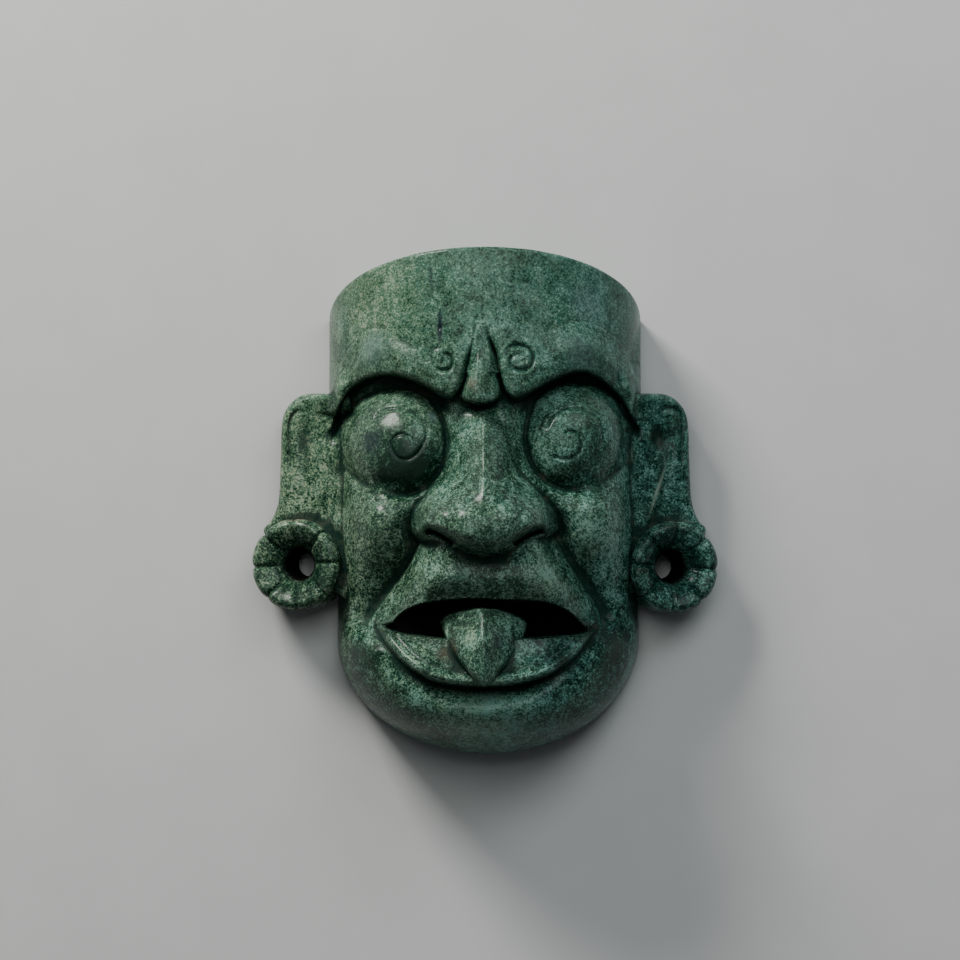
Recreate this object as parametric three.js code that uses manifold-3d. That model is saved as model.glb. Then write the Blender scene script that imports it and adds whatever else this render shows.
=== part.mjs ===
// A jade mask: a god's face with goggle eyes, a filed tooth and petalled ear flares, carved from one
// block of mottled green stone and hollowed behind. Millimetres. It lies on the flat rim of its back,
// with +X to the viewer's right, +Y to the crown and +Z out of the face.
//
// The carving is set out square to the line along which the mask is looked at. The face leans back
// from that line, so the finished stone is sheared: what stands higher lies nearer the chin.

import * as THREE from 'three';
import { mergeVertices } from 'three/addons/utils/BufferGeometryUtils.js';
import Module from 'manifold-3d';

const FACE_LEAN = 0.14;

// Head: half widths, the chin's half ellipse, and the slanting flat cut of the crown
const TEMPLE_HALF_WIDTH = 59.5;
const JAW_HALF_WIDTH = 57.4;
const JAW_Y = -53;
const CHIN_LENGTH = 44.7;
const CHIN_SHIFT = 1.2;
const FOREHEAD_DEPTH = 59;
const CROWN_DEPTH = 54;
const FACE_DEPTH = 55;
const FOREHEAD_ROUNDNESS = 2.05;
const FACE_ROUNDNESS = 2.3;
const CROWN_Y = 97.5;
const CROWN_SLANT = 0.53;
const TALLEST = 90;

// Hollow behind: an oval bowl that leaves a flat rim
const RIM_WIDTH = 13;
const HOLLOW_DEPTH = 34;
const HOLLOW_TOP = 54;
const HOLLOW_SQUARENESS = 2.5;

// Brows: plates that stand proud of the forehead and end in scrolls beside the central spine
const BROW_RISE = 2.4;
const BROW_UNDER = [[58.5, 27.5], [54, 37.5], [47, 45.5], [36.5, 49], [25, 45.8], [13, 39.5]];
const BROW_LOBE = [[9.6, 40.6], [7.4, 46], [6.2, 53]];
const BROW_TOP = [[9.5, 58], [17, 60.5], [27, 61.5], [36, 66], [45, 65.5], [54, 57]];
const SCROLL = { x: 15, y: 53, radius: 6.2, rise: 1.6, groove: 3.6, turn: 0.22 };
const SPINE = { x: -1.2, top: 66, bottom: 38.4, halfWidth: 5.9, foot: 66, tip: 59.5, ridge: 0.45 };

// Eyes: bulging discs in sockets that run deepest under the brows
const EYES = [
  { x: -33, y: 21.7, radiusX: 19.3, radiusY: 20.5 },
  { x: 33.2, y: 23.4, radiusX: 19.3, radiusY: 21 },
];
const EYE_BASE = 36;
const EYE_BULGE = 16;
const EYE_TURN = 0.2;
const SOCKET_DEPTH = 6;
const SOCKET_WIDTH = 0.3;
const UNDER_BROW_DEPTH = 10;
const UNDER_BROW_WIDTH = 7;

// Cheeks and chin: hills of the face, each with its place, half widths and height
const HILLS = [
  { x: -44, y: -9, radiusX: 14, radiusY: 18, rise: 6 },
  { x: 45, y: -9, radiusX: 14, radiusY: 18, rise: 6 },
  { x: 0, y: -82, radiusX: 38, radiusY: 13, rise: 11 },
];

// Nose: its ridge and half width from the tip to the root, and the outline that it is cut to
const NOSE_RIDGE = [[-26, 70], [-19, 77], [-11, 81], [0, 77], [20, 66], [33, 57], [40, 51], [46, 49]];
const NOSE_HALF_WIDTH = [[-24, 22], [-13, 24.4], [-5, 22.5], [4, 17.5], [15, 13], [33, 8], [44, 7]];
const NOSE_OUTLINE = [[0, -22.8], [9, -20.5], [17, -15.5], [23.6, -14], [24.6, -8], [20, 0], [15, 14],
  [9.5, 34], [8, 44]];
const NOSE_FOOT = 50;
const WING_FALL = 13;
const NOSTRIL = { x: 16.6, y: -15.2, z: 66, length: 7, height: 1.9, depth: 9, turn: 0.42 };

// Muzzle, lips and mouth
const MUZZLE_DEPTH = 66;
const MUZZLE_ROUNDNESS = 2.6;
const MUZZLE_OUTLINE = [[-20, 0], [-24.5, -12], [-29, -25], [-37, -35], [-42, -44], [-42, -52], [0, -54],
  [43, -52], [42.5, -43], [37, -34], [30, -24], [25, -11], [20, 0]];
const MUZZLE_SLOPE = 7.5;
const LIP_ROLL = 5;
const LIP_ROLL_WIDTH = 7;
const FURROW_DEPTH = 9;
const FURROW_WIDTH = 11;
const MOUTH_FLOOR = 46;
const MOUTH_TOP = [[-38.5, -49.6], [-31, -43.5], [-22, -39.8], [0, -38.6], [25, -39.8], [33, -43],
  [40, -50]];
const MOUTH_BOTTOM = [[40, -50], [28, -52], [0, -53], [-28, -51.8], [-38.5, -49.6]];
const LIP_EDGE = [[-39, -49], [-34, -57.5], [-24, -65], [-10, -69.5], [4, -70.2], [18, -67.5], [30, -61.5],
  [39.5, -50.5]];
const LIP_DEPTH = 64;
const LIP_FALL = 0.5;
const LIP_HOLLOW_WIDTH = 16;
const GROOVE_DEPTH = 5;
const GROOVE_WIDTH = 4.5;

// Tooth: a wedge over the lower lip, with its ridge's height from the root down to the point
const TOOTH_OUTLINE = [[0, -42.2], [8, -43], [15.2, -46.3], [12.8, -56], [6.5, -64.5], [-0.6, -70.5],
  [-7.5, -64.5], [-13.3, -55.5], [-16.2, -46], [-9, -43]];
const TOOTH_RIDGE = [[0, 62], [9, 66.5], [18, 68], [25, 66], [33, 61]];
const TOOTH_TOP = -40.2;
const TOOTH_X = -0.6;
const TOOTH_ROOT = 41;
const TOOTH_FALL = 0.62;

// Ears: straps with a hooked groove and a shallow pan, hung with round petalled flares
const EAR_BACK = 3;
const EAR_THICKNESS = 11;
const EAR_SLOPE = 0.25;
const EAR_OUTLINE = [[-84.4, -12], [-80, -17], [-52, -19], [-52, 41], [-68.5, 40.7], [-74.9, 36.1],
  [-77.4, 28.5], [-77.9, 15], [-78.7, 0], [-81.7, -7.6]];
const EAR_HOOK = [[-74.6, 20], [-74.5, 29.5], [-71, 33.6], [-67.6, 31.6]];
const EAR_HOOK_WIDTH = 2.8;
const EAR_HOOK_DEPTH = 2.4;
const EAR_PAN = [[-71.5, 27], [-66, 28.5], [-62.5, 20], [-63.5, 9], [-72, 8]];
const EAR_PAN_DEPTH = 1.8;
const FLARES = [{ x: -71, y: -24.9 }, { x: 71, y: -25.8 }];
const FLARE_SPLAY = 0.36;
const FLARE_Z = 15.5;
const FLARE_RADIUS = 17.6;
const FLARE_THICKNESS = 13;
const PETALS = 8;
const STEPS_PER_PETAL = 3;
const PETAL_NOTCH = 1.4;
const BORE_RADIUS = 5.7;

const STONE = new THREE.MeshStandardMaterial({ color: 0x4a6254, roughness: 0.32, metalness: 0 });

const wasm = await Module();
wasm.setup();

const { clamp, lerp, smoothstep } = THREE.MathUtils;

// A run of y over the stations [x, y], eased at each of them and level beyond the ends
function along(stations, x) {
  const next = stations.findIndex(([place]) => place > x);
  if (next === 0) return stations[0][1];
  if (next < 0) return stations[stations.length - 1][1];
  const [[x0, y0], [x1, y1]] = [stations[next - 1], stations[next]];
  const even = (x - x0) / (x1 - x0);
  return lerp(y0, y1, (smoothstep(x, x0, x1) + even) / 2);
}

function smoothLine(points, samples, closed = false) {
  const places = points.map(([x, y]) => new THREE.Vector3(x, y, 0));
  const curve = new THREE.CatmullRomCurve3(places, closed, 'centripetal');
  const line = curve.getPoints(samples).map(({ x, y }) => [x, y]);
  return closed ? line.slice(1) : line;
}

function mirrored(points) {
  return points.map(([x, y]) => [-x, y]);
}

function distanceToLine(line, x, y) {
  let nearest = Infinity;
  for (let i = 1; i < line.length; i++) {
    const [[x0, y0], [x1, y1]] = [line[i - 1], line[i]];
    const [dx, dy] = [x1 - x0, y1 - y0];
    const share = clamp(((x - x0) * dx + (y - y0) * dy) / (dx * dx + dy * dy), 0, 1);
    nearest = Math.min(nearest, Math.hypot(x - x0 - share * dx, y - y0 - share * dy));
  }
  return nearest;
}

// Distance into a closed outline, negative outside it
function depthInside(outline, x, y) {
  let inside = false;
  const loop = [...outline, outline[0]];
  for (let i = 1; i < loop.length; i++) {
    const [[x0, y0], [x1, y1]] = [loop[i - 1], loop[i]];
    if ((y0 > y) !== (y1 > y) && x < x0 + (x1 - x0) * (y - y0) / (y1 - y0)) inside = !inside;
  }
  const distance = distanceToLine(loop, x, y);
  return inside ? distance : -distance;
}

// The head's outline: straight sides above a half ellipse, a little to the right at the jaw
function midline(y) {
  return CHIN_SHIFT * smoothstep(-y, -40, 40);
}

function headRadius(x, y, halfWidth) {
  const across = (x - midline(y)) / halfWidth;
  return y > JAW_Y ? Math.abs(across) : Math.hypot(across, (JAW_Y - y) / CHIN_LENGTH);
}

function vault(radius, depth, roundness) {
  return depth * Math.max(1 - Math.min(radius, 1) ** roundness, 0) ** (1 / roundness);
}

const browLine = smoothLine(BROW_UNDER, 22);
const muzzleLine = smoothLine(MUZZLE_OUTLINE, 60, true);
const mouthTop = smoothLine(MOUTH_TOP, 20);
const mouthBottom = smoothLine(MOUTH_BOTTOM, 12).slice(1, -1);
const lipLine = smoothLine(LIP_EDGE, 40);

function foreheadHeight(x, y, rise = 0) {
  const depth = lerp(FOREHEAD_DEPTH, CROWN_DEPTH, smoothstep(y, 45, 100)) + rise;
  return vault(headRadius(x, y, TEMPLE_HALF_WIDTH), depth, FOREHEAD_ROUNDNESS);
}

function faceHeight(x, y) {
  const radius = headRadius(x, y, JAW_HALF_WIDTH);
  let z = vault(radius, FACE_DEPTH, FACE_ROUNDNESS);
  for (const hill of HILLS) {
    z += hill.rise * Math.exp(-(((x - hill.x) / hill.radiusX) ** 2) - ((y - hill.y) / hill.radiusY) ** 2);
  }
  z -= socketDepth(x, y) * smoothstep(1 - radius, 0, 0.15);

  const inMuzzle = depthInside(muzzleLine, x, y);
  const furrow = FURROW_DEPTH * Math.exp(-((Math.max(-inMuzzle, 0) / FURROW_WIDTH) ** 2));
  z -= furrow * smoothstep(y, -56, -38) * smoothstep(-y, -8, 6);
  const roll = LIP_ROLL * (1 - smoothstep(distanceToLine(mouthTop, x, y), 0, LIP_ROLL_WIDTH)) ** 2;
  const muzzle = vault(radius, MUZZLE_DEPTH, MUZZLE_ROUNDNESS) - roll;
  z = lerp(z, Math.max(z, muzzle), smoothstep(inMuzzle, -1, MUZZLE_SLOPE));

  const groove = GROOVE_DEPTH * Math.exp(-((distanceToLine(lipLine, x, y) / GROOVE_WIDTH) ** 2));
  return z - groove * smoothstep(-y, 46, 56);
}

function socketDepth(x, y) {
  const underBrow = distanceToLine(browLine, Math.abs(x), y) / UNDER_BROW_WIDTH;
  let depth = UNDER_BROW_DEPTH * Math.exp(-(underBrow ** 2));
  for (const eye of EYES) {
    const across = Math.hypot((x - eye.x) / eye.radiusX, (y - eye.y) / eye.radiusY);
    depth += SOCKET_DEPTH * Math.exp(-(((across - 1) / SOCKET_WIDTH) ** 2));
  }
  return depth;
}

function lipHeight(x, y) {
  const rim = vault(headRadius(x, y, JAW_HALF_WIDTH), LIP_DEPTH, FACE_ROUNDNESS);
  return Math.max(rim - LIP_FALL * Math.min(distanceToLine(lipLine, x, y), LIP_HOLLOW_WIDTH), 1);
}

// A sharp ridge above, swelling into round wings about the tip
function noseHeight(x, y) {
  const ridge = along(NOSE_RIDGE, y);
  const across = Math.min(Math.abs(x) / along(NOSE_HALF_WIDTH, y), 1.4);
  const flank = ridge - (ridge - NOSE_FOOT) * (0.6 * across + 0.4 * across ** 4);
  const wing = ridge - WING_FALL * across ** 1.6;
  return lerp(flank, wing, smoothstep(-y, -6, 10));
}

// A place (u, v) of the unit square, laid over the head: straight above the jaw, round the chin below
function outlinePlace(u, v, halfWidth) {
  const chinShare = 0.3;
  const beyondCrown = 12;
  const a = 2 * u - 1;
  const b = Math.min(v / chinShare - 1, 0);
  const across = a * Math.sqrt(1 - b * b / 2);
  const down = b * Math.sqrt(1 - a * a / 2);
  const radius = Math.hypot(across, down);
  const spread = radius > 0 ? Math.sin(Math.min(radius, 1) * Math.PI / 2) / radius : 0;
  const rise = Math.max(v - chinShare, 0) / (1 - chinShare) * (CROWN_Y + beyondCrown - JAW_Y);
  const y = JAW_Y + down * spread * CHIN_LENGTH + rise;
  return [midline(y) + across * spread * halfWidth, y];
}

// Right triangles halve down from the whole square until each lies within the tolerance of the surface
function halvedTriangles(points, cells, tolerance) {
  const size = cells + 1;
  const errors = new Float32Array(size * size);
  const middle = (p, q) => (p + q) / 2;
  const [lowLeft, lowRight, highLeft, highRight] = [0, cells, size * cells, size * size - 1];
  const halves = [[lowRight, highLeft, lowLeft], [highLeft, lowRight, highRight]];
  const deepest = 2 * Math.log2(cells) - 1;

  const visit = (a, b, c, depth, act) => {
    if (depth === 0) {
      act(a, b, c);
      return;
    }
    visit(c, a, middle(a, b), depth - 1, act);
    visit(b, c, middle(a, b), depth - 1, act);
  };
  for (let depth = deepest; depth >= 0; depth--) {
    for (const half of halves) {
      visit(...half, depth, (a, b, c) => {
        const m = middle(a, b);
        const own = points[m].distanceTo(points[a].clone().lerp(points[b], 0.5));
        const below = depth < deepest ? Math.max(errors[middle(c, a)], errors[middle(b, c)]) : 0;
        errors[m] = Math.max(errors[m], own, below);
      });
    }
  }

  const triangles = [];
  const settle = (a, b, c, depth) => {
    if (depth <= deepest && errors[middle(a, b)] > tolerance) {
      settle(c, a, middle(a, b), depth + 1);
      settle(b, c, middle(a, b), depth + 1);
    } else {
      triangles.push(a, b, c);
    }
  };
  for (const half of halves) settle(...half, 0);
  return triangles;
}

// The solid between the plane of the rim and a carved height
function carvedSolid(heightAt, halfWidth, cells, tolerance) {
  const size = cells + 1;
  const points = [];
  for (let j = 0; j < size; j++) {
    for (let i = 0; i < size; i++) {
      const [x, y] = outlinePlace(i / cells, j / cells, halfWidth);
      const onRim = i === 0 || i === cells || j === 0;
      points.push(new THREE.Vector3(x, y, onRim ? 0 : heightAt(x, y)));
    }
  }
  const triangles = halvedTriangles(points, cells, tolerance);
  const used = new Set(triangles);
  const side = (start, step) => {
    const steps = Array.from({ length: size }, (_, k) => start + k * step);
    return steps.filter((k) => used.has(k));
  };
  const rim = [...side(0, size).reverse(), ...side(0, 1).slice(1), ...side(cells, size).slice(1)];
  const top = side(size * cells, 1).reverse();
  const cap = (loop, flat) => {
    const faces = THREE.ShapeUtils.triangulateShape(loop.map((k) => flat(points[k])), []);
    for (const face of faces) triangles.push(...face.map((k) => loop[k]).reverse());
  };
  cap(rim, ({ x, y }) => new THREE.Vector2(x, y));
  cap(top, ({ x, z }) => new THREE.Vector2(x, z));
  return solid(new THREE.BufferGeometry().setFromPoints(points).setIndex(triangles));
}

// A closed mesh as a solid for joining and cutting
function solid(geometry) {
  const plain = geometry.index ? geometry.toNonIndexed() : geometry.clone();
  plain.deleteAttribute('normal');
  plain.deleteAttribute('uv');
  const merged = mergeVertices(plain, 1e-4);
  return new wasm.Manifold(new wasm.Mesh({
    numProp: 3,
    vertProperties: merged.attributes.position.array,
    triVerts: merged.index.array,
  }));
}

function prism(outline, depth, steps = 1) {
  const shape = new THREE.Shape(outline.map(([x, y]) => new THREE.Vector2(x, y)));
  return new THREE.ExtrudeGeometry(shape, { depth, steps, bevelEnabled: false });
}

function turned(profile, segments) {
  return new THREE.LatheGeometry(profile.map(([r, h]) => new THREE.Vector2(r, h)), segments);
}

function block(outline, low, high = TALLEST) {
  return prism(outline, high - low).translate(0, 0, low);
}

function reshaped(geometry, place) {
  const points = geometry.attributes.position;
  for (let i = 0; i < points.count; i++) {
    points.setXYZ(i, ...place(points.getX(i), points.getY(i), points.getZ(i)));
  }
  return geometry;
}

// The forehead stands over the face down to the brows' lower edge
function forehead() {
  const [, tipY] = BROW_UNDER[0];
  const [side, top] = [TEMPLE_HALF_WIDTH + 10, CROWN_Y + 30];
  const right = [[side, top], [side, tipY], ...browLine, ...BROW_LOBE];
  const outline = [...right, [SPINE.x, SPINE.top - 6], ...mirrored(right).reverse()];
  const shell = carvedSolid((x, y) => foreheadHeight(x, y), TEMPLE_HALF_WIDTH, 32, 0.35);
  return shell.intersect(solid(block(outline, -1)));
}

function browPlates() {
  const beyondTemple = [TEMPLE_HALF_WIDTH + 6, 40];
  const outline = [...browLine, ...BROW_LOBE, ...smoothLine(BROW_TOP, 16), beyondTemple];
  const raised = carvedSolid((x, y) => foreheadHeight(x, y, BROW_RISE), TEMPLE_HALF_WIDTH, 32, 0.35);
  return raised.intersect(solid(block(outline, 5)).add(solid(block(mirrored(outline), 5))));
}

// A button ringed by a groove
function scroll(side) {
  const { x, y, radius, rise, groove, turn } = SCROLL;
  const profile = [[0, -12], [radius, -12], [radius, 0.4], [radius - 0.8, rise], [groove + 0.9, rise],
    [groove, 0.2], [groove - 0.9, rise], [0, rise]];
  const disc = turned(profile, 14).rotateX(Math.PI / 2).rotateY(side * turn);
  return solid(disc.translate(side * x, y, foreheadHeight(x, y, BROW_RISE)));
}

// The spine is a ridge that widens and rises from its tip down to its blunt lower end
function spine() {
  const { x, top, bottom, halfWidth, foot, tip, ridge } = SPINE;
  const shoulder = -ridge * halfWidth;
  const section = [[-1, -20], [1, -20], [1, shoulder], [0.35, 0], [-0.35, 0], [-1, shoulder]];
  const bar = reshaped(prism(section, 1, 8), (across, up, share) => {
    const end = Math.max(share - 0.8, 0) / 0.2;
    const blunt = Math.sqrt(1 - 0.75 * end * end);
    const width = halfWidth * Math.max(share, 0.03) * blunt;
    return [across * width, up + lerp(tip, foot, share) - 3 * (1 - blunt), share * (top - bottom)];
  });
  return solid(bar.rotateX(Math.PI / 2).translate(x, top, 0));
}

function eyeball({ x, y, radiusX, radiusY }) {
  const ball = new THREE.SphereGeometry(1, 24, 14);
  ball.rotateX(Math.PI / 2).scale(radiusX, radiusY, EYE_BULGE).rotateY(Math.sign(x) * EYE_TURN);
  return solid(ball.translate(x, y, EYE_BASE));
}

function nose() {
  const outline = smoothLine([...NOSE_OUTLINE, ...mirrored(NOSE_OUTLINE.slice(1)).reverse()], 60, true);
  const bridge = carvedSolid(noseHeight, TEMPLE_HALF_WIDTH, 64, 0.3);
  return bridge.intersect(solid(block(outline, HOLLOW_DEPTH)));
}

function nostril(side) {
  const { x, y, z, length, height, depth, turn } = NOSTRIL;
  const slit = new THREE.SphereGeometry(1, 10, 6).scale(length, height, depth).rotateZ(side * turn);
  return solid(slit.translate(side * x, y, z));
}

function lowerLip() {
  const shelf = carvedSolid(lipHeight, JAW_HALF_WIDTH, 64, 0.35);
  return shelf.intersect(solid(block([...lipLine, ...mouthBottom], HOLLOW_DEPTH)));
}

function mouth() {
  return solid(block([...mouthTop, ...mouthBottom], MOUTH_FLOOR));
}

// The tooth's outline cut from a roof whose ridge bows outwards
function tooth() {
  const outline = smoothLine(TOOTH_OUTLINE, 24, true);
  const half = 20;
  const [eave, floor] = [-TOOTH_FALL * half, -30];
  const section = [[-half, floor], [half, floor], [half, eave], [0, 0], [-half, eave]];
  const [length] = TOOTH_RIDGE[TOOTH_RIDGE.length - 1];
  const roof = reshaped(prism(section, length, 10), (x, z, down) => [x, z + along(TOOTH_RIDGE, down), down]);
  roof.rotateX(Math.PI / 2).translate(TOOTH_X, TOOTH_TOP, 0);
  return solid(block(outline, TOOTH_ROOT)).intersect(solid(roof));
}

// Both edges of a ribbon laid along a line
function ribbon(line, width) {
  const edge = (offset) => line.map(([x, y], i) => {
    const [x0, y0] = line[Math.max(i - 1, 0)];
    const [x1, y1] = line[Math.min(i + 1, line.length - 1)];
    const scale = offset / Math.hypot(x1 - x0, y1 - y0);
    return [x - (y1 - y0) * scale, y + (x1 - x0) * scale];
  });
  return [...edge(width / 2), ...edge(-width / 2).reverse()];
}

// An ear slopes backwards away from the face; its outlines are those of the ear at the left
function ear(side) {
  const [[outermost]] = EAR_OUTLINE;
  const sloped = (outline, low, high) => {
    const flat = block(side < 0 ? outline : mirrored(outline), low, high);
    return solid(reshaped(flat, (x, y, z) => [x, y, z + EAR_BACK - EAR_SLOPE * (outermost + Math.abs(x))]));
  };
  const hookLine = ribbon(smoothLine(EAR_HOOK, 8), EAR_HOOK_WIDTH);
  const strap = sloped(smoothLine(EAR_OUTLINE, 30, true), 0, EAR_THICKNESS);
  const hook = sloped(hookLine, EAR_THICKNESS - EAR_HOOK_DEPTH, TALLEST);
  const pan = sloped(smoothLine(EAR_PAN, 12, true), EAR_THICKNESS - EAR_PAN_DEPTH, TALLEST);
  return strap.subtract(hook).subtract(pan);
}

// Sets a thing turned round the Y axis at a flare's place, facing forwards and outwards
function turnedOut(geometry, { x, y }) {
  geometry.rotateX(Math.PI / 2).rotateY(Math.sign(x) * FLARE_SPLAY);
  return solid(geometry.translate(x, y, FLARE_Z));
}

// A flare is a thick ring whose rim and face are notched into petals
function flare(place) {
  const [rim, half] = [FLARE_RADIUS, FLARE_THICKNESS / 2];
  const inner = BORE_RADIUS / 2;
  const profile = [[inner, -half], [rim - 1, -half], [rim, 2 - half], [rim, half - 5.5],
    [rim - 1.8, half - 2], [rim - 6, half], [rim - 11, half - 1.4], [inner, half - 4], [inner, -half]];
  const ring = reshaped(turned(profile, PETALS * STEPS_PER_PETAL), (x, y, z) => {
    const radius = Math.hypot(x, z);
    const petal = Math.atan2(z, x) * PETALS / (2 * Math.PI);
    const atNotch = Math.abs(petal - Math.round(petal)) < 0.5 / STEPS_PER_PETAL && radius > BORE_RADIUS;
    const notch = atNotch ? PETAL_NOTCH : 0;
    const shrink = 1 - notch / 2 / radius;
    return [x * shrink, y > 0 ? y - notch : y, z * shrink];
  });
  return turnedOut(ring, place);
}

function bore(place) {
  return turnedOut(new THREE.CylinderGeometry(BORE_RADIUS, BORE_RADIUS, 60, 20), place);
}

function hollow() {
  const halfWidth = JAW_HALF_WIDTH - RIM_WIDTH;
  const halfLength = (HOLLOW_TOP - JAW_Y + CHIN_LENGTH - RIM_WIDTH) / 2;
  const squared = (c) => Math.sign(c) * Math.abs(c) ** (2 / HOLLOW_SQUARENESS);
  const bowl = reshaped(new THREE.SphereGeometry(1, 32, 16), (x, y, z) => [
    squared(x) * halfWidth, squared(y) * halfLength, squared(z) * HOLLOW_DEPTH,
  ]);
  return solid(bowl.translate(0, HOLLOW_TOP - halfLength, 0));
}

// Everything past the slanting plane of the crown
function aboveCrown() {
  const [below, far] = [-5, 2 * CROWN_Y];
  const edgeAt = (z) => CROWN_Y + CROWN_SLANT * (z - CROWN_DEPTH);
  const side = [[below, edgeAt(below)], [TALLEST, edgeAt(TALLEST)], [TALLEST, far], [below, far]];
  return solid(block(side, -TALLEST).rotateY(-Math.PI / 2));
}

// The leaning stone, brought over the origin
function finished(shape) {
  const { vertProperties, triVerts } = shape.getMesh();
  const geometry = new THREE.BufferGeometry();
  geometry.setAttribute('position', new THREE.BufferAttribute(Float32Array.from(vertProperties), 3));
  geometry.setIndex(Array.from(triVerts));
  geometry.applyMatrix4(new THREE.Matrix4().makeShear(0, 0, 0, 0, 0, -FACE_LEAN));
  geometry.computeBoundingBox();
  const { x, y } = geometry.boundingBox.getCenter(new THREE.Vector3());
  return geometry.translate(-x, -y, 0);
}

let mask = carvedSolid(faceHeight, JAW_HALF_WIDTH, 128, 0.95).add(forehead()).add(browPlates()).add(nose());
for (const eye of EYES) mask = mask.add(eyeball(eye));
for (const side of [-1, 1]) mask = mask.add(scroll(side)).subtract(nostril(side)).add(ear(side));
mask = mask.add(lowerLip()).add(spine()).subtract(mouth()).add(tooth()).subtract(aboveCrown());
for (const place of FLARES) mask = mask.add(flare(place)).subtract(bore(place));
mask = mask.subtract(hollow());

const jadeMask = new THREE.Mesh(finished(mask), STONE);
jadeMask.name = 'jade_mask';

export default new THREE.Group().add(jadeMask);
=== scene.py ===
import math

import bmesh
import bpy
import numpy as np
from mathutils import Matrix, Vector


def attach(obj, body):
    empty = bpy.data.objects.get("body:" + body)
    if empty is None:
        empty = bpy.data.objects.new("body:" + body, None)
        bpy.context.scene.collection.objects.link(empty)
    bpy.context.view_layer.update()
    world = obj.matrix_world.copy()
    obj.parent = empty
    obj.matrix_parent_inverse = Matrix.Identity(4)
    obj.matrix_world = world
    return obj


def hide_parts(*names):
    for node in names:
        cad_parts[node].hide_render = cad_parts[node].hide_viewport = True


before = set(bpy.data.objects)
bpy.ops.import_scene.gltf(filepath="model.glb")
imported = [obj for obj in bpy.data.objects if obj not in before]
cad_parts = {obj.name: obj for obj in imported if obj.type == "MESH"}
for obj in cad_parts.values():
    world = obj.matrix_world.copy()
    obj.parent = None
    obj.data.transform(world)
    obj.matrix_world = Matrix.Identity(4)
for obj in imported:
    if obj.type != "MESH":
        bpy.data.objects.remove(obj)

bl_info = {
    "name": "Jade Mask",
    "version": (1, 0, 0),
    "blender": (4, 5, 0),
    "location": "View3D > Sidebar > Jade Mask",
    "description": "A carved jade face mask with goggle eyes, a tooth and petalled ear flares",
    "category": "Object",
}

# The carving is set out in millimetres, square to the line along which the mask is looked at.
# The finished stone leans back from that line and is brought over the origin.
# A RUN is the stretch over which something comes in, from its first value to its second. A BLEND and a
# BEVEL say how widely an edge is rounded, and ENDS over what shares of its length a groove runs out.
MM = 0.001
CENTRE_Y = 4.43

# The head: its sides widen to the temples, and below the jaw it ends in a half-round chin set aside.
# The relief dies away near the rim, and the surface never sinks below its least depth.
JAW_Y = -53.0
CHIN_LENGTH = 44.7
CHIN_SHIFT = 1.2
CHIN_SHIFT_RUN = 40.0
TEMPLE_RUN = (15.0, 45.0)
FACE_DEPTH = 55.0
FACE_ROUNDNESS = 2.3
RIM_FADE = 0.15
LEAST_DEPTH, LEAST_ROUNDNESS = 10.0, 2.0
CROWN_BEVEL = 1.6
CROWN_CUTTER = (200.0, 80.0, 400.0)
# Rounded swellings: the cheeks and the chin, as place, spread and rise
HILLS = [
    ((-44.0, -9.0), (15.0, 15.0), 7.5),
    ((45.5, -9.0), (15.0, 15.0), 7.5),
    ((0.5, -84.0), (42.0, 13.0), 8.5),
]
# Small chips and hollows in the face, as place, radius and depth
PITS = [(-58.5, 53.5, 1.1, 1.0), (-17.0, 66.0, 0.8, 0.6), (31.0, -22.0, 0.7, 0.4), (-9.0, -84.0, 0.7, 0.4)]
# Creases beside the spine and fine cracks, as line, width and depth
CREASES = [
    ([(1.8, 63.0), (3.6, 56.0), (5.2, 48.0), (6.6, 42.0), (7.4, 37.0)], 1.2, 2.4),
    ([(-4.2, 60.0), (-6.0, 53.0), (-7.8, 46.0), (-9.4, 39.0)], 1.4, 0.8),
    ([(-17.3, 73.0), (-17.7, 68.0), (-17.2, 60.0)], 0.75, 0.25),
    ([(-15.2, 40.5), (-15.5, 45.0)], 0.4, 0.4),
    ([(12.0, 93.0), (11.2, 84.0), (12.4, 77.0)], 0.4, 0.15),
    ([(-30.0, 92.0), (-31.2, 86.0)], 0.5, 0.2),
    ([(30.0, -4.0), (33.5, -10.0), (33.0, -15.0)], 0.35, 0.15),
]
CREASE_ENDS = (0.3, 0.3)
# Slight waves that grinding by hand leaves, as turns across and along and a start
WAVE_HEIGHT, WAVE_BEND = 0.07, 0.8
WAVES = [(0.31, 0.17, 0.4), (-0.19, 0.37, 2.1), (0.43, -0.29, 3.7), (0.11, 0.52, 5.2), (0.58, 0.23, 1.3)]

# The forehead: it falls towards the crown, and its lower edge lifts at the outer tips of the brows
FOREHEAD_ROUNDNESS = 2.05
FOREHEAD_BEVEL = 2.4
CROWN_FALL_RUN = (45.0, 100.0)
BROW_TIP_RISE = 9.0
BROW_TIP_SHARES = (0.84, 0.96)
BROW_TIP_RUN = (54.0, 42.0)
# Corners far beyond the head that close the outline of all that lies over the brows' lower edge
BEYOND_FOREHEAD = [(90.0, 24.0), (90.0, 150.0), (-90.0, 150.0), (-90.0, 24.0)]
# A brow pad's rise, shared out between a step at its edge and a slope, and less near the spine
PAD_STEP, PAD_STEP_RUN = 0.31, (-0.6, 0.8)
PAD_SLOPE, PAD_SLOPE_RUN = 0.69, (0.0, 9.0)
PAD_NEAR_SPINE, PAD_BEYOND_SPINE, PAD_SPINE_RUN = 0.35, 0.65, (18.0, 40.0)
# The left pad's step is missing over its scroll and strong on its outer half
RIGHT_STEP, LEFT_SCROLL_RUN, LEFT_BROW_RUN = 0.6, (-6.0, -14.0), (-34.0, -44.0)
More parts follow.
